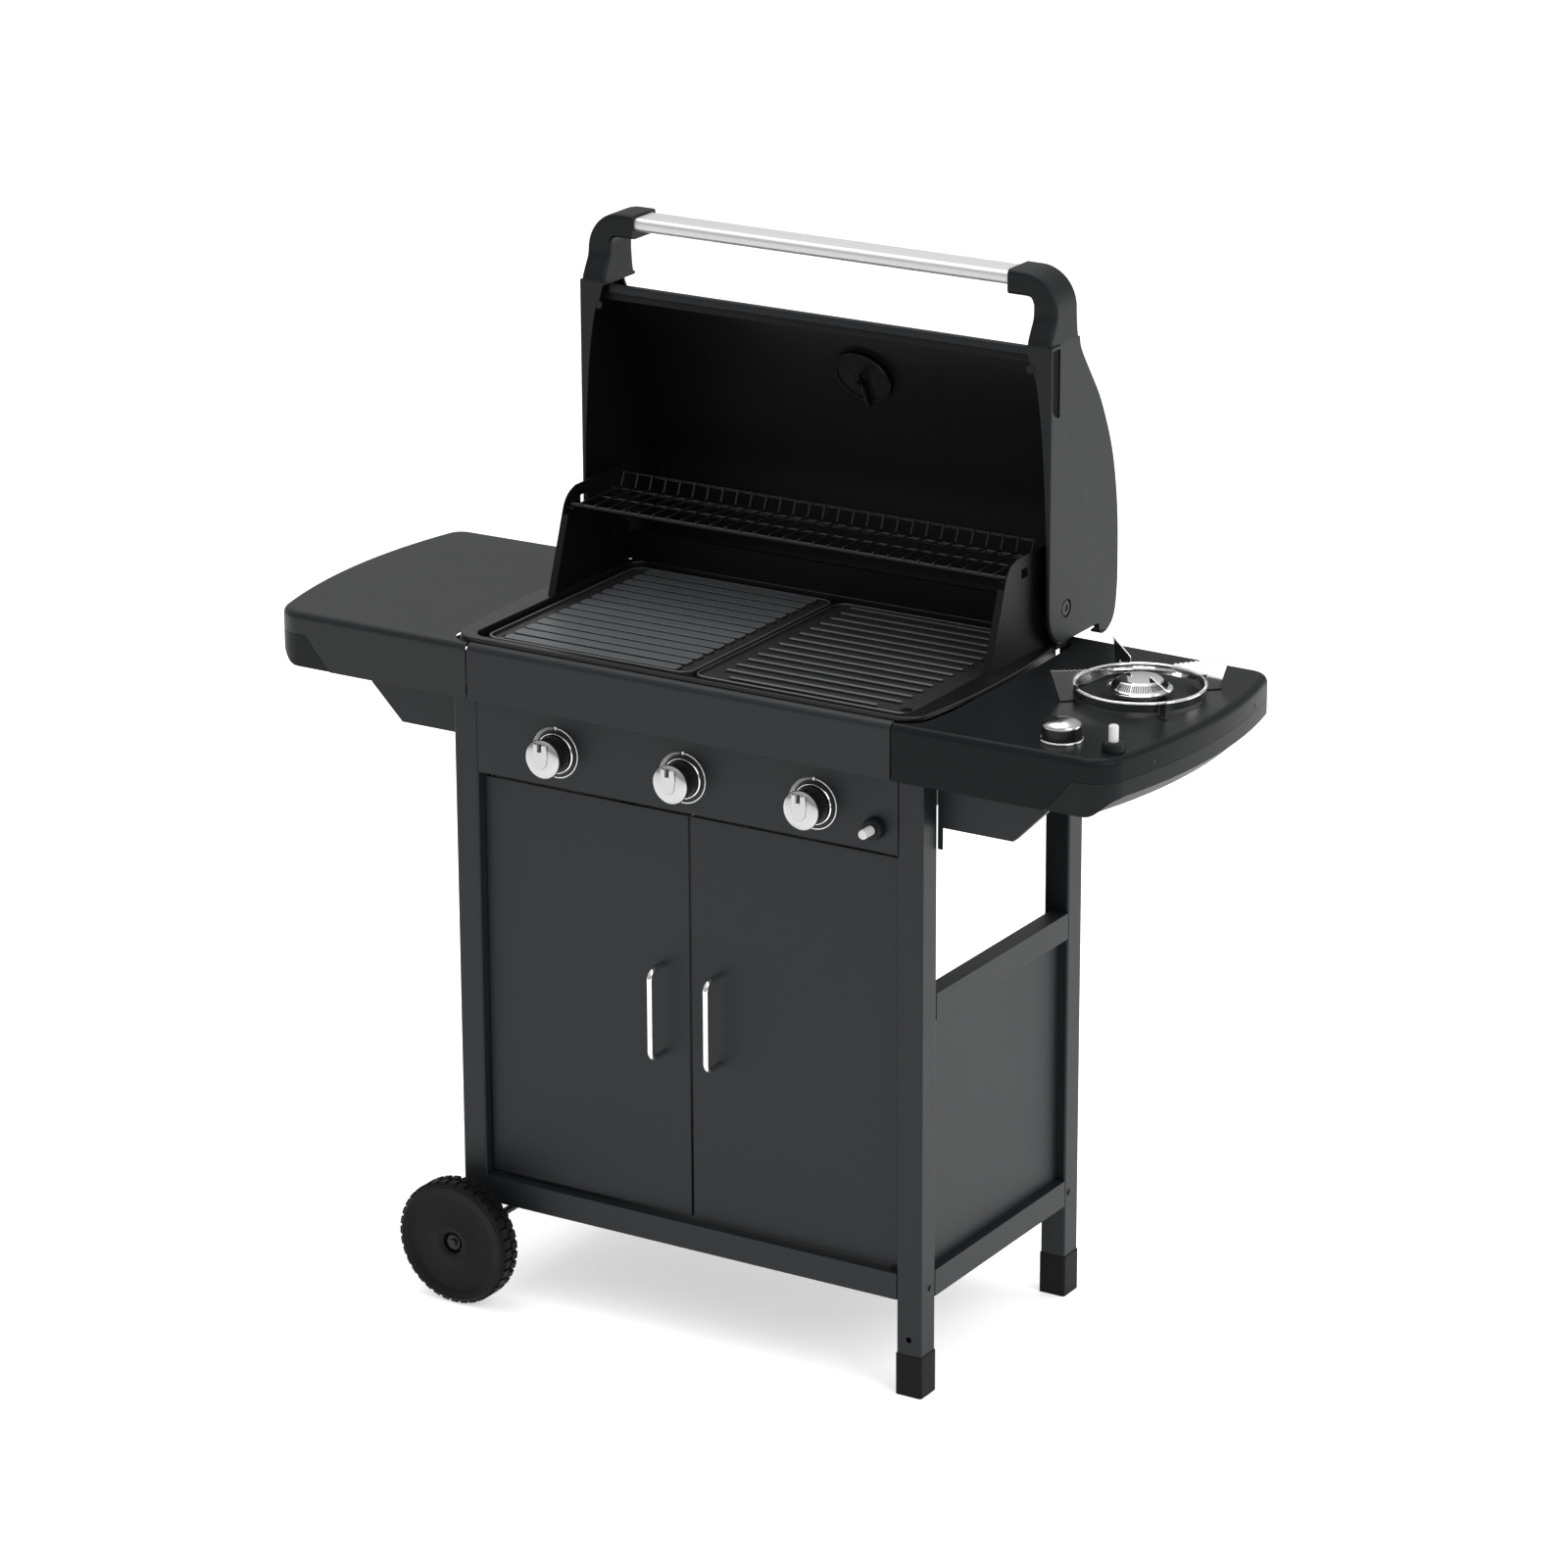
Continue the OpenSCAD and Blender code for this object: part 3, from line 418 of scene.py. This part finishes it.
# Turns a flat outline drawn in (across, up) to stand on the front, or in (depth, up) on the right.
FACING_FRONT = Matrix(((1, 0, 0), (0, 0, -1), (0, 1, 0))).to_4x4()
FACING_RIGHT = Matrix(((0, 0, 1), (1, 0, 0), (0, 1, 0))).to_4x4()


def prism(points, start, end, place):
    """A closed prism over a flat outline, put into place."""
    bm = bmesh.new()
    base = bm.faces.new([bm.verts.new((x, y, start)) for x, y in points])
    made = bmesh.ops.extrude_face_region(bm, geom=[base])
    lifted = [item for item in made["geom"] if isinstance(item, bmesh.types.BMVert)]
    bmesh.ops.translate(bm, vec=(0, 0, end - start), verts=lifted)
    bmesh.ops.transform(bm, matrix=place, verts=bm.verts)
    bmesh.ops.recalc_face_normals(bm, faces=bm.faces)
    return bm


def arc(centre, radius, start, end, steps):
    """Points on an arc; angles in degrees."""
    turns = [math.radians(start + (end - start) * i / steps) for i in range(steps + 1)]
    return [(centre[0] + radius * math.cos(a), centre[1] + radius * math.sin(a)) for a in turns]


def spline(points, steps=6):
    """A smooth line through given points."""
    line = []
    for i in range(len(points) - 1):
        a, b = Vector(points[max(i - 1, 0)]), Vector(points[i])
        c, d = Vector(points[i + 1]), Vector(points[min(i + 2, len(points) - 1)])
        for step in range(steps):
            t = step / steps
            line.append(0.5 * (2 * b + (c - a) * t + (2 * a - 5 * b + 4 * c - d) * t * t
                + (3 * b - a - 3 * c + d) * t * t * t))
    return [tuple(point) for point in line] + [tuple(points[-1])]


# ------------------------------------------------------------------ camera, floor and light

CAMERA_PLACE = Vector((3.671, -5.929 + CART_Y, 3.078))
CAMERA_YAW = math.radians(31.61)
CAMERA_DIP = math.radians(18.93)
CAMERA_ROLL = math.radians(-0.224)
LENS = 134.8


def make_camera():
    """Long lens from the right and above."""
    data = bpy.data.cameras.new("camera")
    data.lens = LENS
    data.sensor_width = 36.0
    data.clip_end = 100
    camera = bpy.data.objects.new("camera", data)
    bpy.context.scene.collection.objects.link(camera)
    turn = Matrix.Rotation(CAMERA_YAW, 4, "Z") @ Matrix.Rotation(math.pi / 2 - CAMERA_DIP, 4, "X")
    camera.matrix_world = Matrix.Translation(CAMERA_PLACE) @ turn @ Matrix.Rotation(CAMERA_ROLL, 4, "Z")
    bpy.context.scene.camera = camera


def make_floor():
    """Plain pale floor that glows a little, so that it stays white."""
    bm = bmesh.new()
    bmesh.ops.create_grid(bm, x_segments=1, y_segments=1, size=30)
    mesh = bpy.data.meshes.new("floor")
    bm.to_mesh(mesh)
    bm.free()
    floor = bpy.data.objects.new("floor", mesh)
    finish = Finish("floor", Roughness=0.8, Specular_IOR_Level=0.0, Emission_Strength=0.5)
    finish.shader.inputs["Base Color"].default_value = (0.90, 0.90, 0.90, 1)
    finish.shader.inputs["Emission Color"].default_value = (1, 1, 1, 1)
    mesh.materials.append(finish.material)
    bpy.context.scene.collection.objects.link(floor)


def area_light(name, place, target, size, power):
    data = bpy.data.lights.new(name, "AREA")
    data.shape = "RECTANGLE"
    data.size, data.size_y = size
    data.energy = power
    light = bpy.data.objects.new(name, data)
    light.location = place
    light.rotation_euler = (Vector(target) - Vector(place)).to_track_quat("-Z", "Y").to_euler()
    bpy.context.scene.collection.objects.link(light)


def make_world():
    """Dim room that is brighter overhead; the floor carries most of the light."""
    world = bpy.data.worlds.new("studio")
    bpy.context.scene.world = world
    world.use_nodes = True
    nodes = world.node_tree.nodes
    links = world.node_tree.links
    direction = nodes.new("ShaderNodeTexCoord")
    split = nodes.new("ShaderNodeSeparateXYZ")
    ramp = nodes.new("ShaderNodeMapRange")
    ramp.inputs["From Min"].default_value = 0.1
    ramp.inputs["From Max"].default_value = 0.9
    ramp.inputs["To Min"].default_value = 0.42
    ramp.inputs["To Max"].default_value = 1.0
    links.new(direction.outputs["Generated"], split.inputs[0])
    links.new(split.outputs["Z"], ramp.inputs["Value"])
    links.new(ramp.outputs[0], nodes["Background"].inputs["Color"])
    nodes["Background"].inputs["Strength"].default_value = 1.0


def make_lights():
    """Three large soft lights."""
    area_light("side", (4.5, 3.5, 1.6), (0, 0, 0.6), (3.0, 2.5), 70)
    area_light("key", (3.5, -1.0, 3.2), (0, 0, 0.7), (2.5, 2.5), 60)
    area_light("top", (-0.5, 0.5, 4.2), (0, 0, 0.8), (3.0, 3.0), 80)
    bpy.context.scene.view_settings.view_transform = "Standard"


make_world()
make_camera()
make_floor()
make_lights()


# ------------------------------------------------------------------ pieces that keep their CAD shape

EDGE_FINISHES = {
    "powder coat": {
        "legs_left": 0.6, "legs_right": 0.6, "rails": 0.6, "side_panels": 0.4,
        "bottom_panel": 0.4, "control_panel": 0.6, "front_fascia": 0.4, "shelf_brackets": 0.5,
        "door_left": 0.6, "door_right": 0.6, "tray_runners": 0.4, "door_hinge_pins": 0.4,
    },
    "foot plastic": {"foot_caps": 0.5},
    "moulded plastic": {"shelf_trims": 0.5, "igniter_bases": 0.5},
    "enamel": {"windbreaks": 0.5, "back_wall": 0.4, "flame_tamers": 0.5, "lid_skin": 0.4},
    "chrome": {"burner_ring": 0.1, "door_handle_left": 0.5, "door_handle_right": 0.5, "knob_bezels": 0.25},
    "plated sheet": {"pan_supports": 0.2},
    "zinc steel": {
        "stem_left": 0.4, "stem_middle": 0.4, "stem_right": 0.4, "stem_side": 0.4,
        "burner_tubes": 0.3, "gas_manifold": 0.5, "side_burner_head": 0.5,
    },
    "galvanised sheet": {"grease_tray": 0.4},
    "brass": {"gas_valves": 0.6, "side_feed_pipe": 0.3},
    "dark screw": {"axle": 0.6, "axle_caps": 0.4, "frame_screws": 0.3, "shelf_screws": 0.3},
    "rubber": {"lid_bumpers": 0.4},
    "rack enamel": {"warming_rack": 0.2},
    "button tip": {"button_front": 0.4, "button_side": 0.4},
    "bar aluminium": {"handle_bar": 0.6},
}

for finish_name, nodes in EDGE_FINISHES.items():
    for node_name, edge_radius in nodes.items():
        softened_node(node_name, finish_name, edge_radius * MM)


# ------------------------------------------------------------------ shelves

NOSE = 10 * MM
SHEET = 1.5 * MM


def shelf(node, finish):
    """Pressed shelf: its upper edge is rolled over in a wide bend, inside and outside."""
    bm = from_node(node)
    front = low(node).y
    back = high(node).y

    def on_rim(point, step):
        on_edge = near(point.y, front + step) or near(point.y, back - step) or abs(point.x) > 400 * MM
        return near(point.z, SHELF_TOP - step) and on_edge

    def on_skirt(edge):
        deep = [face for face in edge.link_faces if abs(face.normal.z) < 0.1 and span(face, 2) > 20 * MM]
        return len(deep) == 1 and edge.calc_face_angle(0) > SMOOTH_ANGLE

    for step in (0.0, SHEET):
        rim = [e for e in bm.edges if on_skirt(e) and all(on_rim(v.co, step) for v in e.verts)]
        round_edges(bm, NOSE - step, 6, rim)
    shaded_piece(node + "_pressed", bm, finish, BODY_OF[node], SLOT_OF[node], node)


shelf("shelf_left", "shelf coat")
shelf("shelf_right", "gloss coat")


def seam_backings():
    """Dark flanges of the end trims behind the slanting seams of the front."""
    front = low("shelf_left").y
    place = Matrix.Translation((0, front, 0)) @ FACING_FRONT
    line = [(512, 810), (522, 810), (560, 850), (546, 850)]
    for side, name in ((-1, "seam_flange_left"), (1, "seam_flange_right")):
        points = scaled([(side * x, z) for x, z in line])
        flange = prism(points, -3.8 * MM, -3.2 * MM, place)
        make_piece(name, flange, "rubber", "cart", SLOT_OF["shelf_trims"])


def gap_shade_strips():
    """Dark strips under the gaps between the firebox rim and the shelves, towards the front: painted shade
    that keeps the gaps dark.
    """
    # Painted shade: thin black sheets laid under the gaps so that they read as shaded.
    strips = []
    for side in (-1, 1):
        xs = sorted((side * 302 * MM, side * 346 * MM))
        strips.append(slab(Vector((xs[0], -207 * MM + CART_Y, 873 * MM)),
            Vector((xs[1], 30 * MM + CART_Y, 874.5 * MM))))
    make_piece("gap_shade_strips", join(strips), "enamel", "cart", SLOT_OF["shelf_left"])


seam_backings()
gap_shade_strips()


# ------------------------------------------------------------------ lid

CREASE_BEHIND = 320
CREASE_FOOT = 870
CREASE_HEAD = 1300
FRONT_ROUND = 2.5 * MM
RECESS_DEPTH = 2.4 * MM
WALL = 4.2 * MM
CREASE = spline([(128, 1184), (150, 1158), (174, 1125), (194, 1089), (205, 1035), (210, 970), (211, 880)])


def lid_side(node, side):
    """Casting: raised front edge, sunk strip under the handle and a long crease; a dark sheet on the strip's
    floor is painted shade.
    """
    bm = from_node(node)
    top = high(node).z
    face_x = max(abs(low(node).x), abs(high(node).x))
    rim = sharp_edges(bm, lambda a, b: near(abs(a.x), face_x) and near(abs(b.x), face_x)
        and min(a.z, b.z) < top - 0.1 * MM and not near_bolt(a))
    round_edges(bm, FRONT_ROUND, 3, rim)
    weld(bm)
    cutters = [behind_crease(face_x), recess(face_x - RECESS_DEPTH, face_x + 5 * MM)]
    # A thin, dark, low-sheen sheet on the floor of the recess: painted shade.
    recess_shade_sheet = recess(face_x - 2.6 * MM, face_x - 2.3 * MM)
    if side < 0:
        for shape in (*cutters, recess_shade_sheet):
            mirror_x(shape)
    bm = cut_away(bm, cutters)
    inner = [face for face in bm.faces if face.normal.y > -0.9 and (face.normal.x * side < -0.4
        or abs(face.calc_center_median().x) < face_x - WALL)]
    lining = bm.copy()
    lining.faces.ensure_lookup_table()
    chosen = {face.index for face in inner}
    keep_faces(lining, lambda face: face.index in chosen)
    bmesh.ops.delete(bm, geom=inner, context="FACES")
    for part, name, finish in ((bm, "_casting", "casting paint"), (lining, "_inside", "enamel")):
        shade(part, CASTING_ANGLE)
        replaced = (node,) if name == "_casting" else ()
        piece = make_piece(node + name, part, finish, "lid", "lid_casting", *replaced)
        keep_flats_flat(piece)
    # The painted-shade sheet goes in as its own piece.
    make_piece(node + "_recess", recess_shade_sheet, "painted recess shade", "lid", "lid_casting")


def behind_crease(face_x):
    """Volume taken off behind the crease; its front side slopes so that the step is soft."""
    behind = [(CREASE_BEHIND, CREASE_FOOT), (CREASE_BEHIND, CREASE_HEAD), (128, CREASE_HEAD)]
    outline = side_outline([*CREASE, *behind])
    cutter = prism(outline, face_x - 2.2 * MM, face_x + 4.4 * MM, FACING_RIGHT)
    slope = [v for v in cutter.verts if v.co.x > face_x and v.co.y < 300 * MM + CART_Y]
    bmesh.ops.translate(cutter, vec=(0, -15 * MM, 0), verts=slope)
    return cutter


def recess(inner_x, outer_x):
    """Narrow strip let into the casting under the handle."""
    line = [(105, 1268), (105, 1193), (110, 1186), (121, 1181), (125, 1184), (125, 1268)]
    return prism(side_outline(line), inner_x, outer_x, FACING_RIGHT)


def near_bolt(point):
    """Whether a point belongs to the hinge boss."""
    hinge = middle("lid_bolts")
    return math.hypot(point.y - hinge.y, point.z - hinge.z) < 16 * MM


def keep_faces(bm, wanted):
    """Deletes the faces that fail a test."""
    bmesh.ops.delete(bm, geom=[face for face in bm.faces if not wanted(face)], context="FACES")


def mirror_x(bm):
    """Turns a right-hand shape into the left-hand one."""
    bmesh.ops.scale(bm, vec=(-1, 1, 1), verts=bm.verts)
    bmesh.ops.recalc_face_normals(bm, faces=bm.faces)


def elbows(node):
    """Moulded elbows of the handle, with all outer edges well rounded."""
    bm = from_node(node)
    foot = low(node).z
    bar_end_x = 272 * MM
    bend_x = 292 * MM
    draw_in = 0.956
    wide = sharp_edges(bm, lambda a, b: max(a.z, b.z) > foot + 0.5 * MM
        and (abs(a.x) > bar_end_x or abs(b.x) > bar_end_x))
    round_edges(bm, 6 * MM, 5, wide)
    weld(bm)
    for vert in bm.verts:
        if abs(vert.co.x) > bend_x:
            vert.co.x = math.copysign(bend_x + draw_in * (abs(vert.co.x) - bend_x), vert.co.x)
    shaded_piece("handle_elbows", bm, "moulded plastic", BODY_OF[node], SLOT_OF[node], node)


def gauge():
    """Thermometer: glossy plate with a lip, two slots shown as dark slabs of painted shade, and a flat probe
    inside the lid.
    """
    node = "gauge"
    softened_node(node, "rim enamel", 0.4 * MM)
    centre = Vector((2 * MM, 233 * MM + CART_Y, 1166 * MM))
    place = Matrix.Translation(centre) @ Matrix.Rotation(math.radians(-62), 4, "X")
    axis = (place.to_3x3() @ Vector((0, 0, 1))).normalized()
    lip = turned([(35.5, -9.2), (36, -10.6), (39, -10.6), (39.8, -9.8), (39.8, -8.5), (35.5, -8.5),
        (35.5, -9.2)], centre, axis)
    probe = slab(Vector((-2, -6, -16)) * MM, Vector((2, 44, -8.8)) * MM)
    # Painted shade: the two slots are thin dark slabs on the plate, not cut through.
    slots = [slab(Vector((x - 3, -9, -9.5)) * MM, Vector((x + 3, 11, -8.9)) * MM) for x in (-17, 17)]
    for part in (probe, *slots):
        bmesh.ops.transform(part, matrix=place, verts=part.verts)
    shaded_piece("gauge_lip", join([lip, probe]), "rim enamel", "lid", SLOT_OF[node])
    make_piece("gauge_slots", join(slots), "rubber", "lid", SLOT_OF[node])


def lid_hem():
    """Folded bar along the front edge of the lid's skin, in the lighter casting paint as a painted
    highlight.
    """
    low_corner = Vector((-304 * MM, 112.5 * MM + CART_Y, 1256 * MM))
    bar = slab(low_corner, low_corner + Vector((608, 12, 11)) * MM)
    round_edges(bar, 2.5 * MM, 3, sharp_edges(bar, lambda a, b: not near(a.x, b.x)))
    # Painted highlight: the hem takes the lighter casting paint, not the skin's black enamel.
    shaded_piece("lid_hem", bar, "casting paint", "lid", SLOT_OF["lid_skin"])


def lid_bolts():
    """Hinge bolts with a hexagon socket in the head."""
    node = "lid_bolts"
    bm = from_node(node)
    face_x = high(node).x
    hinge = middle(node)
    cutters = []
    for side in (-1, 1):
        start = Vector((side * (face_x - 1.2 * MM), hinge.y, hinge.z))
        cutters.append(rod(start, start + Vector((side * 5 * MM, 0, 0)), 5 * MM, 6))
    shaded_piece("lid_bolts_socketed", cut_away(bm, cutters), "dark screw", "lid", SLOT_OF[node], node)


lid_side("lid_side_right", 1)
lid_side("lid_side_left", -1)
elbows("handle_brackets")
gauge()
lid_hem()
lid_bolts()


# ------------------------------------------------------------------ firebox and grates

RIM_TOP = 886.5 * MM
GRATE_BORDER = 8 * MM
# How far below the top a face may lie and still get the painted highlight.
LIT_TOP_DEPTH = 1.5 * MM


def firebox():
    """Tub whose rim has a rounded top edge."""
    bm = from_node("firebox")
    round_edges(bm, 2.2 * MM, 4, top_edges(bm, RIM_TOP))
    shaded_piece("firebox_rimmed", bm, "rim enamel", "cart", SLOT_OF["firebox"], "firebox")


def grate(node, radius):
    """Cast plate whose ribs and border are rounded along their tops; the up-facing rib tops get a lighter
    iron as a painted highlight.
    """
    bm = from_node(node)
    top = high(node).z
    left = low(node).x + GRATE_BORDER
    right = high(node).x - GRATE_BORDER
    round_edges(bm, radius, 3, top_edges(bm, top))

    def is_rib(face):
        place = face.calc_center_median()
        return place.z > top - LIT_TOP_DEPTH and face.normal.z > 0.7 and left < place.x < right

    # Painted highlight: the up-facing tops of the ribs are split off and given a lighter, shinier iron.
    lit_tops = bm.copy()
    keep_faces(lit_tops, is_rib)
    keep_faces(bm, lambda face: not is_rib(face))
    shaded_piece(node + "_cast", bm, "cast iron", BODY_OF[node], SLOT_OF[node], node)
    shaded_piece(node + "_ribs", lit_tops, "painted highlight iron", BODY_OF[node], SLOT_OF[node])


firebox()
grate("cooking_grate", 0.9 * MM)
grate("griddle", 1.6 * MM)


# ------------------------------------------------------------------ knobs

FRONT_KNOBS = ("knob_left", "knob_middle", "knob_right")
FACE_PROFILE = [
    (0, 27), (24, 27), (25, 27.8), (25, 29), (24.4, 30.4), (22, 32.0), (17, 33.5), (9, 34.5),
    (0, 34.9),
]
BODY_PROFILE = [(0, 4), (22.6, 4), (23.4, 4.8), (23.5, 6), (23.5, 27), (0, 27)]
SIDE_BODY_PROFILE = [(6, 4), (22.6, 4), (23.4, 4.8), (23.5, 6), (23.5, 18), (6, 18), (6, 4)]
SIDE_FACE_PROFILE = [
    (0, 24.8), (6, 24.8), (6, 18), (22.8, 18), (23.5, 18.7), (23.5, 20), (22.6, 21.8),
    (19.5, 24), (14, 26), (7, 27.2), (0, 27.5),
]
UP = Vector((0, 0, 1))
OUT = Vector((0, -1, 0))


def tongue_outline():
    """Raised grip: parallel sides with a round lower end."""
    return [*arc((0, -2), 9.5, 180, 360, 16), (10.6, 8), (9.6, 21), (-9.6, 21), (-10.6, 8)]


def round_top(bm, radius, segments):
    """Rounds the edges of the face that lies furthest out along the front."""
    front = min(v.co.y for v in bm.verts)
    round_edges(bm, radius, segments, sharp_edges(bm, lambda a, b: near(a.y, front) and near(b.y, front)))
    return bm


def bar_outline(half, bottom, top):
    """Upright rectangle in the middle of a knob."""
    return scaled([(-half, bottom), (half, bottom), (half, top), (-half, top)])


def on_panel(node):
    """The knob's centre on the control panel."""
    centre = middle(node)
    centre.y = PANEL_FRONT
    return centre


def on_shelf(node):
    """The node's centre on top of the shelf."""
    centre = middle(node)
    centre.z = SHELF_TOP
    return centre


def front_knob(node):
    """Black body, domed bright face with a raised grip, and a pointer in a slot."""
    centre = on_panel(node)
    place = Matrix.Translation(centre) @ FACING_FRONT
    body = turned(BODY_PROFILE, centre, OUT)
    shaded_piece(node + "_body", body, "knob black", BODY_OF[node], SLOT_OF[node], node)
    grip = round_top(prism(scaled(tongue_outline()), 30 * MM, 37.0 * MM, place), 1.6 * MM, 4)
    slot = prism(bar_outline(3.2, 11, 24), 34.6 * MM, 40 * MM, place)
    face = join([turned(FACE_PROFILE, centre, OUT), cut_away(grip, [slot])])
    shaded_piece(node + "_face", face, "knob chrome", BODY_OF[node], SLOT_OF[node])
    mark = prism(bar_outline(2.3, 12, 21), 34.0 * MM, 35.2 * MM, place)
    shade(mark)
    make_piece(node + "_pointer", mark, "knob black", BODY_OF[node], SLOT_OF[node])


def dial_marks(node):
    """Printed scale round a knob: a ring on the right, ticks that grow on the left, a dot on top."""
    place = Matrix.Translation(on_panel(node)) @ FACING_FRONT
    ring = [*arc((0, 0), 32.6, -95, 84, 48), *reversed(arc((0, 0), 31.3, -95, 84, 48))]
    shapes = [ring, arc((0, 32), 2.2, 0, 337.5, 15)]
    for i in range(16):
        middle_angle = math.radians(99 + i * 5.2)
        half = 0.0105 + 0.0007 * i
        inner, outer = 30.6 - 0.12 * i, 33.0 + 0.16 * i
        corners = ((inner, -half), (outer, -half), (outer, half), (inner, half))
        shapes.append([(r * math.cos(middle_angle + t), r * math.sin(middle_angle + t)) for r, t in corners])
    parts = [prism(scaled(shape), -0.1 * MM, 0.12 * MM, place) for shape in shapes]
    make_piece(node + "_scale", join(parts), "white print", "cart", "frame_black")


for knob in FRONT_KNOBS:
    front_knob(knob)
    dial_marks(knob)


def side_knob():
    """Lower knob of the side burner, with a bore that clears its stem."""
    node = "knob_side"
    centre = on_shelf(node)
    body = turned(SIDE_BODY_PROFILE, centre, UP)
    shaded_piece("knob_side_body", body, "knob black", BODY_OF[node], SLOT_OF[node], node)
    dome = turned(SIDE_FACE_PROFILE, centre, UP)
    shaded_piece("knob_side_face", dome, "knob chrome", BODY_OF[node], SLOT_OF[node])


side_knob()


# ------------------------------------------------------------------ side burner

SLIT_COUNT = 72
PAD_THICKNESS = 1.6 * MM
CAP_PROFILE = [
    (0, 8), (39.4, 8), (40, 8.6), (40, 9.6), (38.6, 10.4), (36.6, 11), (35.4, 12), (27.5, 20.4),
    (26, 21.3), (23, 21.9), (12, 22.7), (0, 23),
]


def burner_cap():
    """Polished cap: flat rim, cone with a ring of fine slots shown as black slabs of painted shade, shallow
    dome.
    """
    node = "side_burner_cap"
    centre = on_shelf(node)
    cap = turned(CAP_PROFILE, centre, UP)
    shaded_piece("burner_cap_turned", cap, "chrome", "cart", SLOT_OF[node], node)
    tilt = Matrix.Rotation(math.atan2(27.5 - 35.4, 20.4 - 12), 4, "Y")
    on_cone = Matrix.Translation((31.6 * MM, 0, 16.0 * MM)) @ tilt
    # Painted shade: the fine slots are thin black slabs on the cone, not cut through.
    slits = []
    for i in range(SLIT_COUNT):
        turn = Matrix.Rotation(FULL_TURN * i / SLIT_COUNT, 4, "Z")
        slit = slab(Vector((-0.5, -0.42, -4.2)) * MM, Vector((0.5, 0.42, 4.2)) * MM)
        bmesh.ops.transform(slit, matrix=Matrix.Translation(centre) @ turn @ on_cone, verts=slit.verts)
        slits.append(slit)
    make_piece("burner_slits", join(slits), "enamel", "cart", SLOT_OF[node])


def support_pads():
    """Small rounded plates under the feet of the pan supports."""
    centre = on_shelf("burner_ring")
    outline = scaled([*arc((98.5, 0), 4.5, -90, 90, 8), *arc((85.5, 0), 4.5, 90, 270, 8)])
    pads = []
    for angle in (45, 135, 225, 315):
        place = Matrix.Translation(centre) @ Matrix.Rotation(math.radians(angle), 4, "Z")
        pad = prism(outline, 0.0, PAD_THICKNESS, place)
        round_edges(pad, 0.8 * MM, 3, top_edges(pad, SHELF_TOP + PAD_THICKNESS))
        pads.append(pad)
    shaded_piece("support_pads", join(pads), "gloss coat", "cart", SLOT_OF["shelf_right"])


burner_cap()
support_pads()


# ------------------------------------------------------------------ wheels

BLOCKS_PER_ROW = 36
BLOCK_FOOT = 78 * MM
BLOCK_TOP = 82.7 * MM
BLOCK_HALF = 5.2 * MM
WHEEL_PROFILE = [
    (5.1, 12), (13, 12), (14, 11), (14, 5), (15, 3.6), (20, 2), (24, 2), (40, 5), (60, 5), (64, 4.4),
    (68, 1.6), (70, 1), (73, 1), (74, 0.4), (75.5, 0.2), (77.5, 1.2), (79, 3.4), (80.2, 6),
    (80.2, 30), (79, 32.6), (77.5, 34.8), (75.5, 35.8), (73, 35), (68, 34.4), (66, 30), (30, 30),
    (17, 36), (15, 58.7), (5.1, 58.7), (5.1, 12),
]


def wheel(node, side):
    """Moulded wheel with a sunk hub and two rows of tread blocks."""
    centre = middle(node)
    centre.y = low(node).y if side < 0 else high(node).y
    inward = Vector((0, -side, 0))
    tyre = turned(WHEEL_PROFILE, centre, inward)
    blocks = []
    for i in range(BLOCKS_PER_ROW):
        for offset, outer, inner in ((0, 5.0, 16.8), (0.5, 19.2, 31.0)):
            turn = Matrix.Rotation(FULL_TURN * (i + offset) / BLOCKS_PER_ROW, 4, "Y")
            near_y, far_y = sorted((-side * outer * MM, -side * inner * MM))
            block = slab(Vector((-BLOCK_HALF, near_y, BLOCK_FOOT)), Vector((BLOCK_HALF, far_y, BLOCK_TOP)))
            crown = sharp_edges(block, lambda a, b: near(a.z, BLOCK_TOP) or near(b.z, BLOCK_TOP))
            round_edges(block, 0.9 * MM, 2, crown)
            bmesh.ops.transform(block, matrix=Matrix.Translation(centre) @ turn, verts=block.verts)
            blocks.append(block)
    whole = join([tyre, *blocks])
    shaded_piece(node + "_treaded", whole, "tyre", BODY_OF[node], SLOT_OF[node], node)


wheel("wheel_front", -1)
wheel("wheel_back", 1)
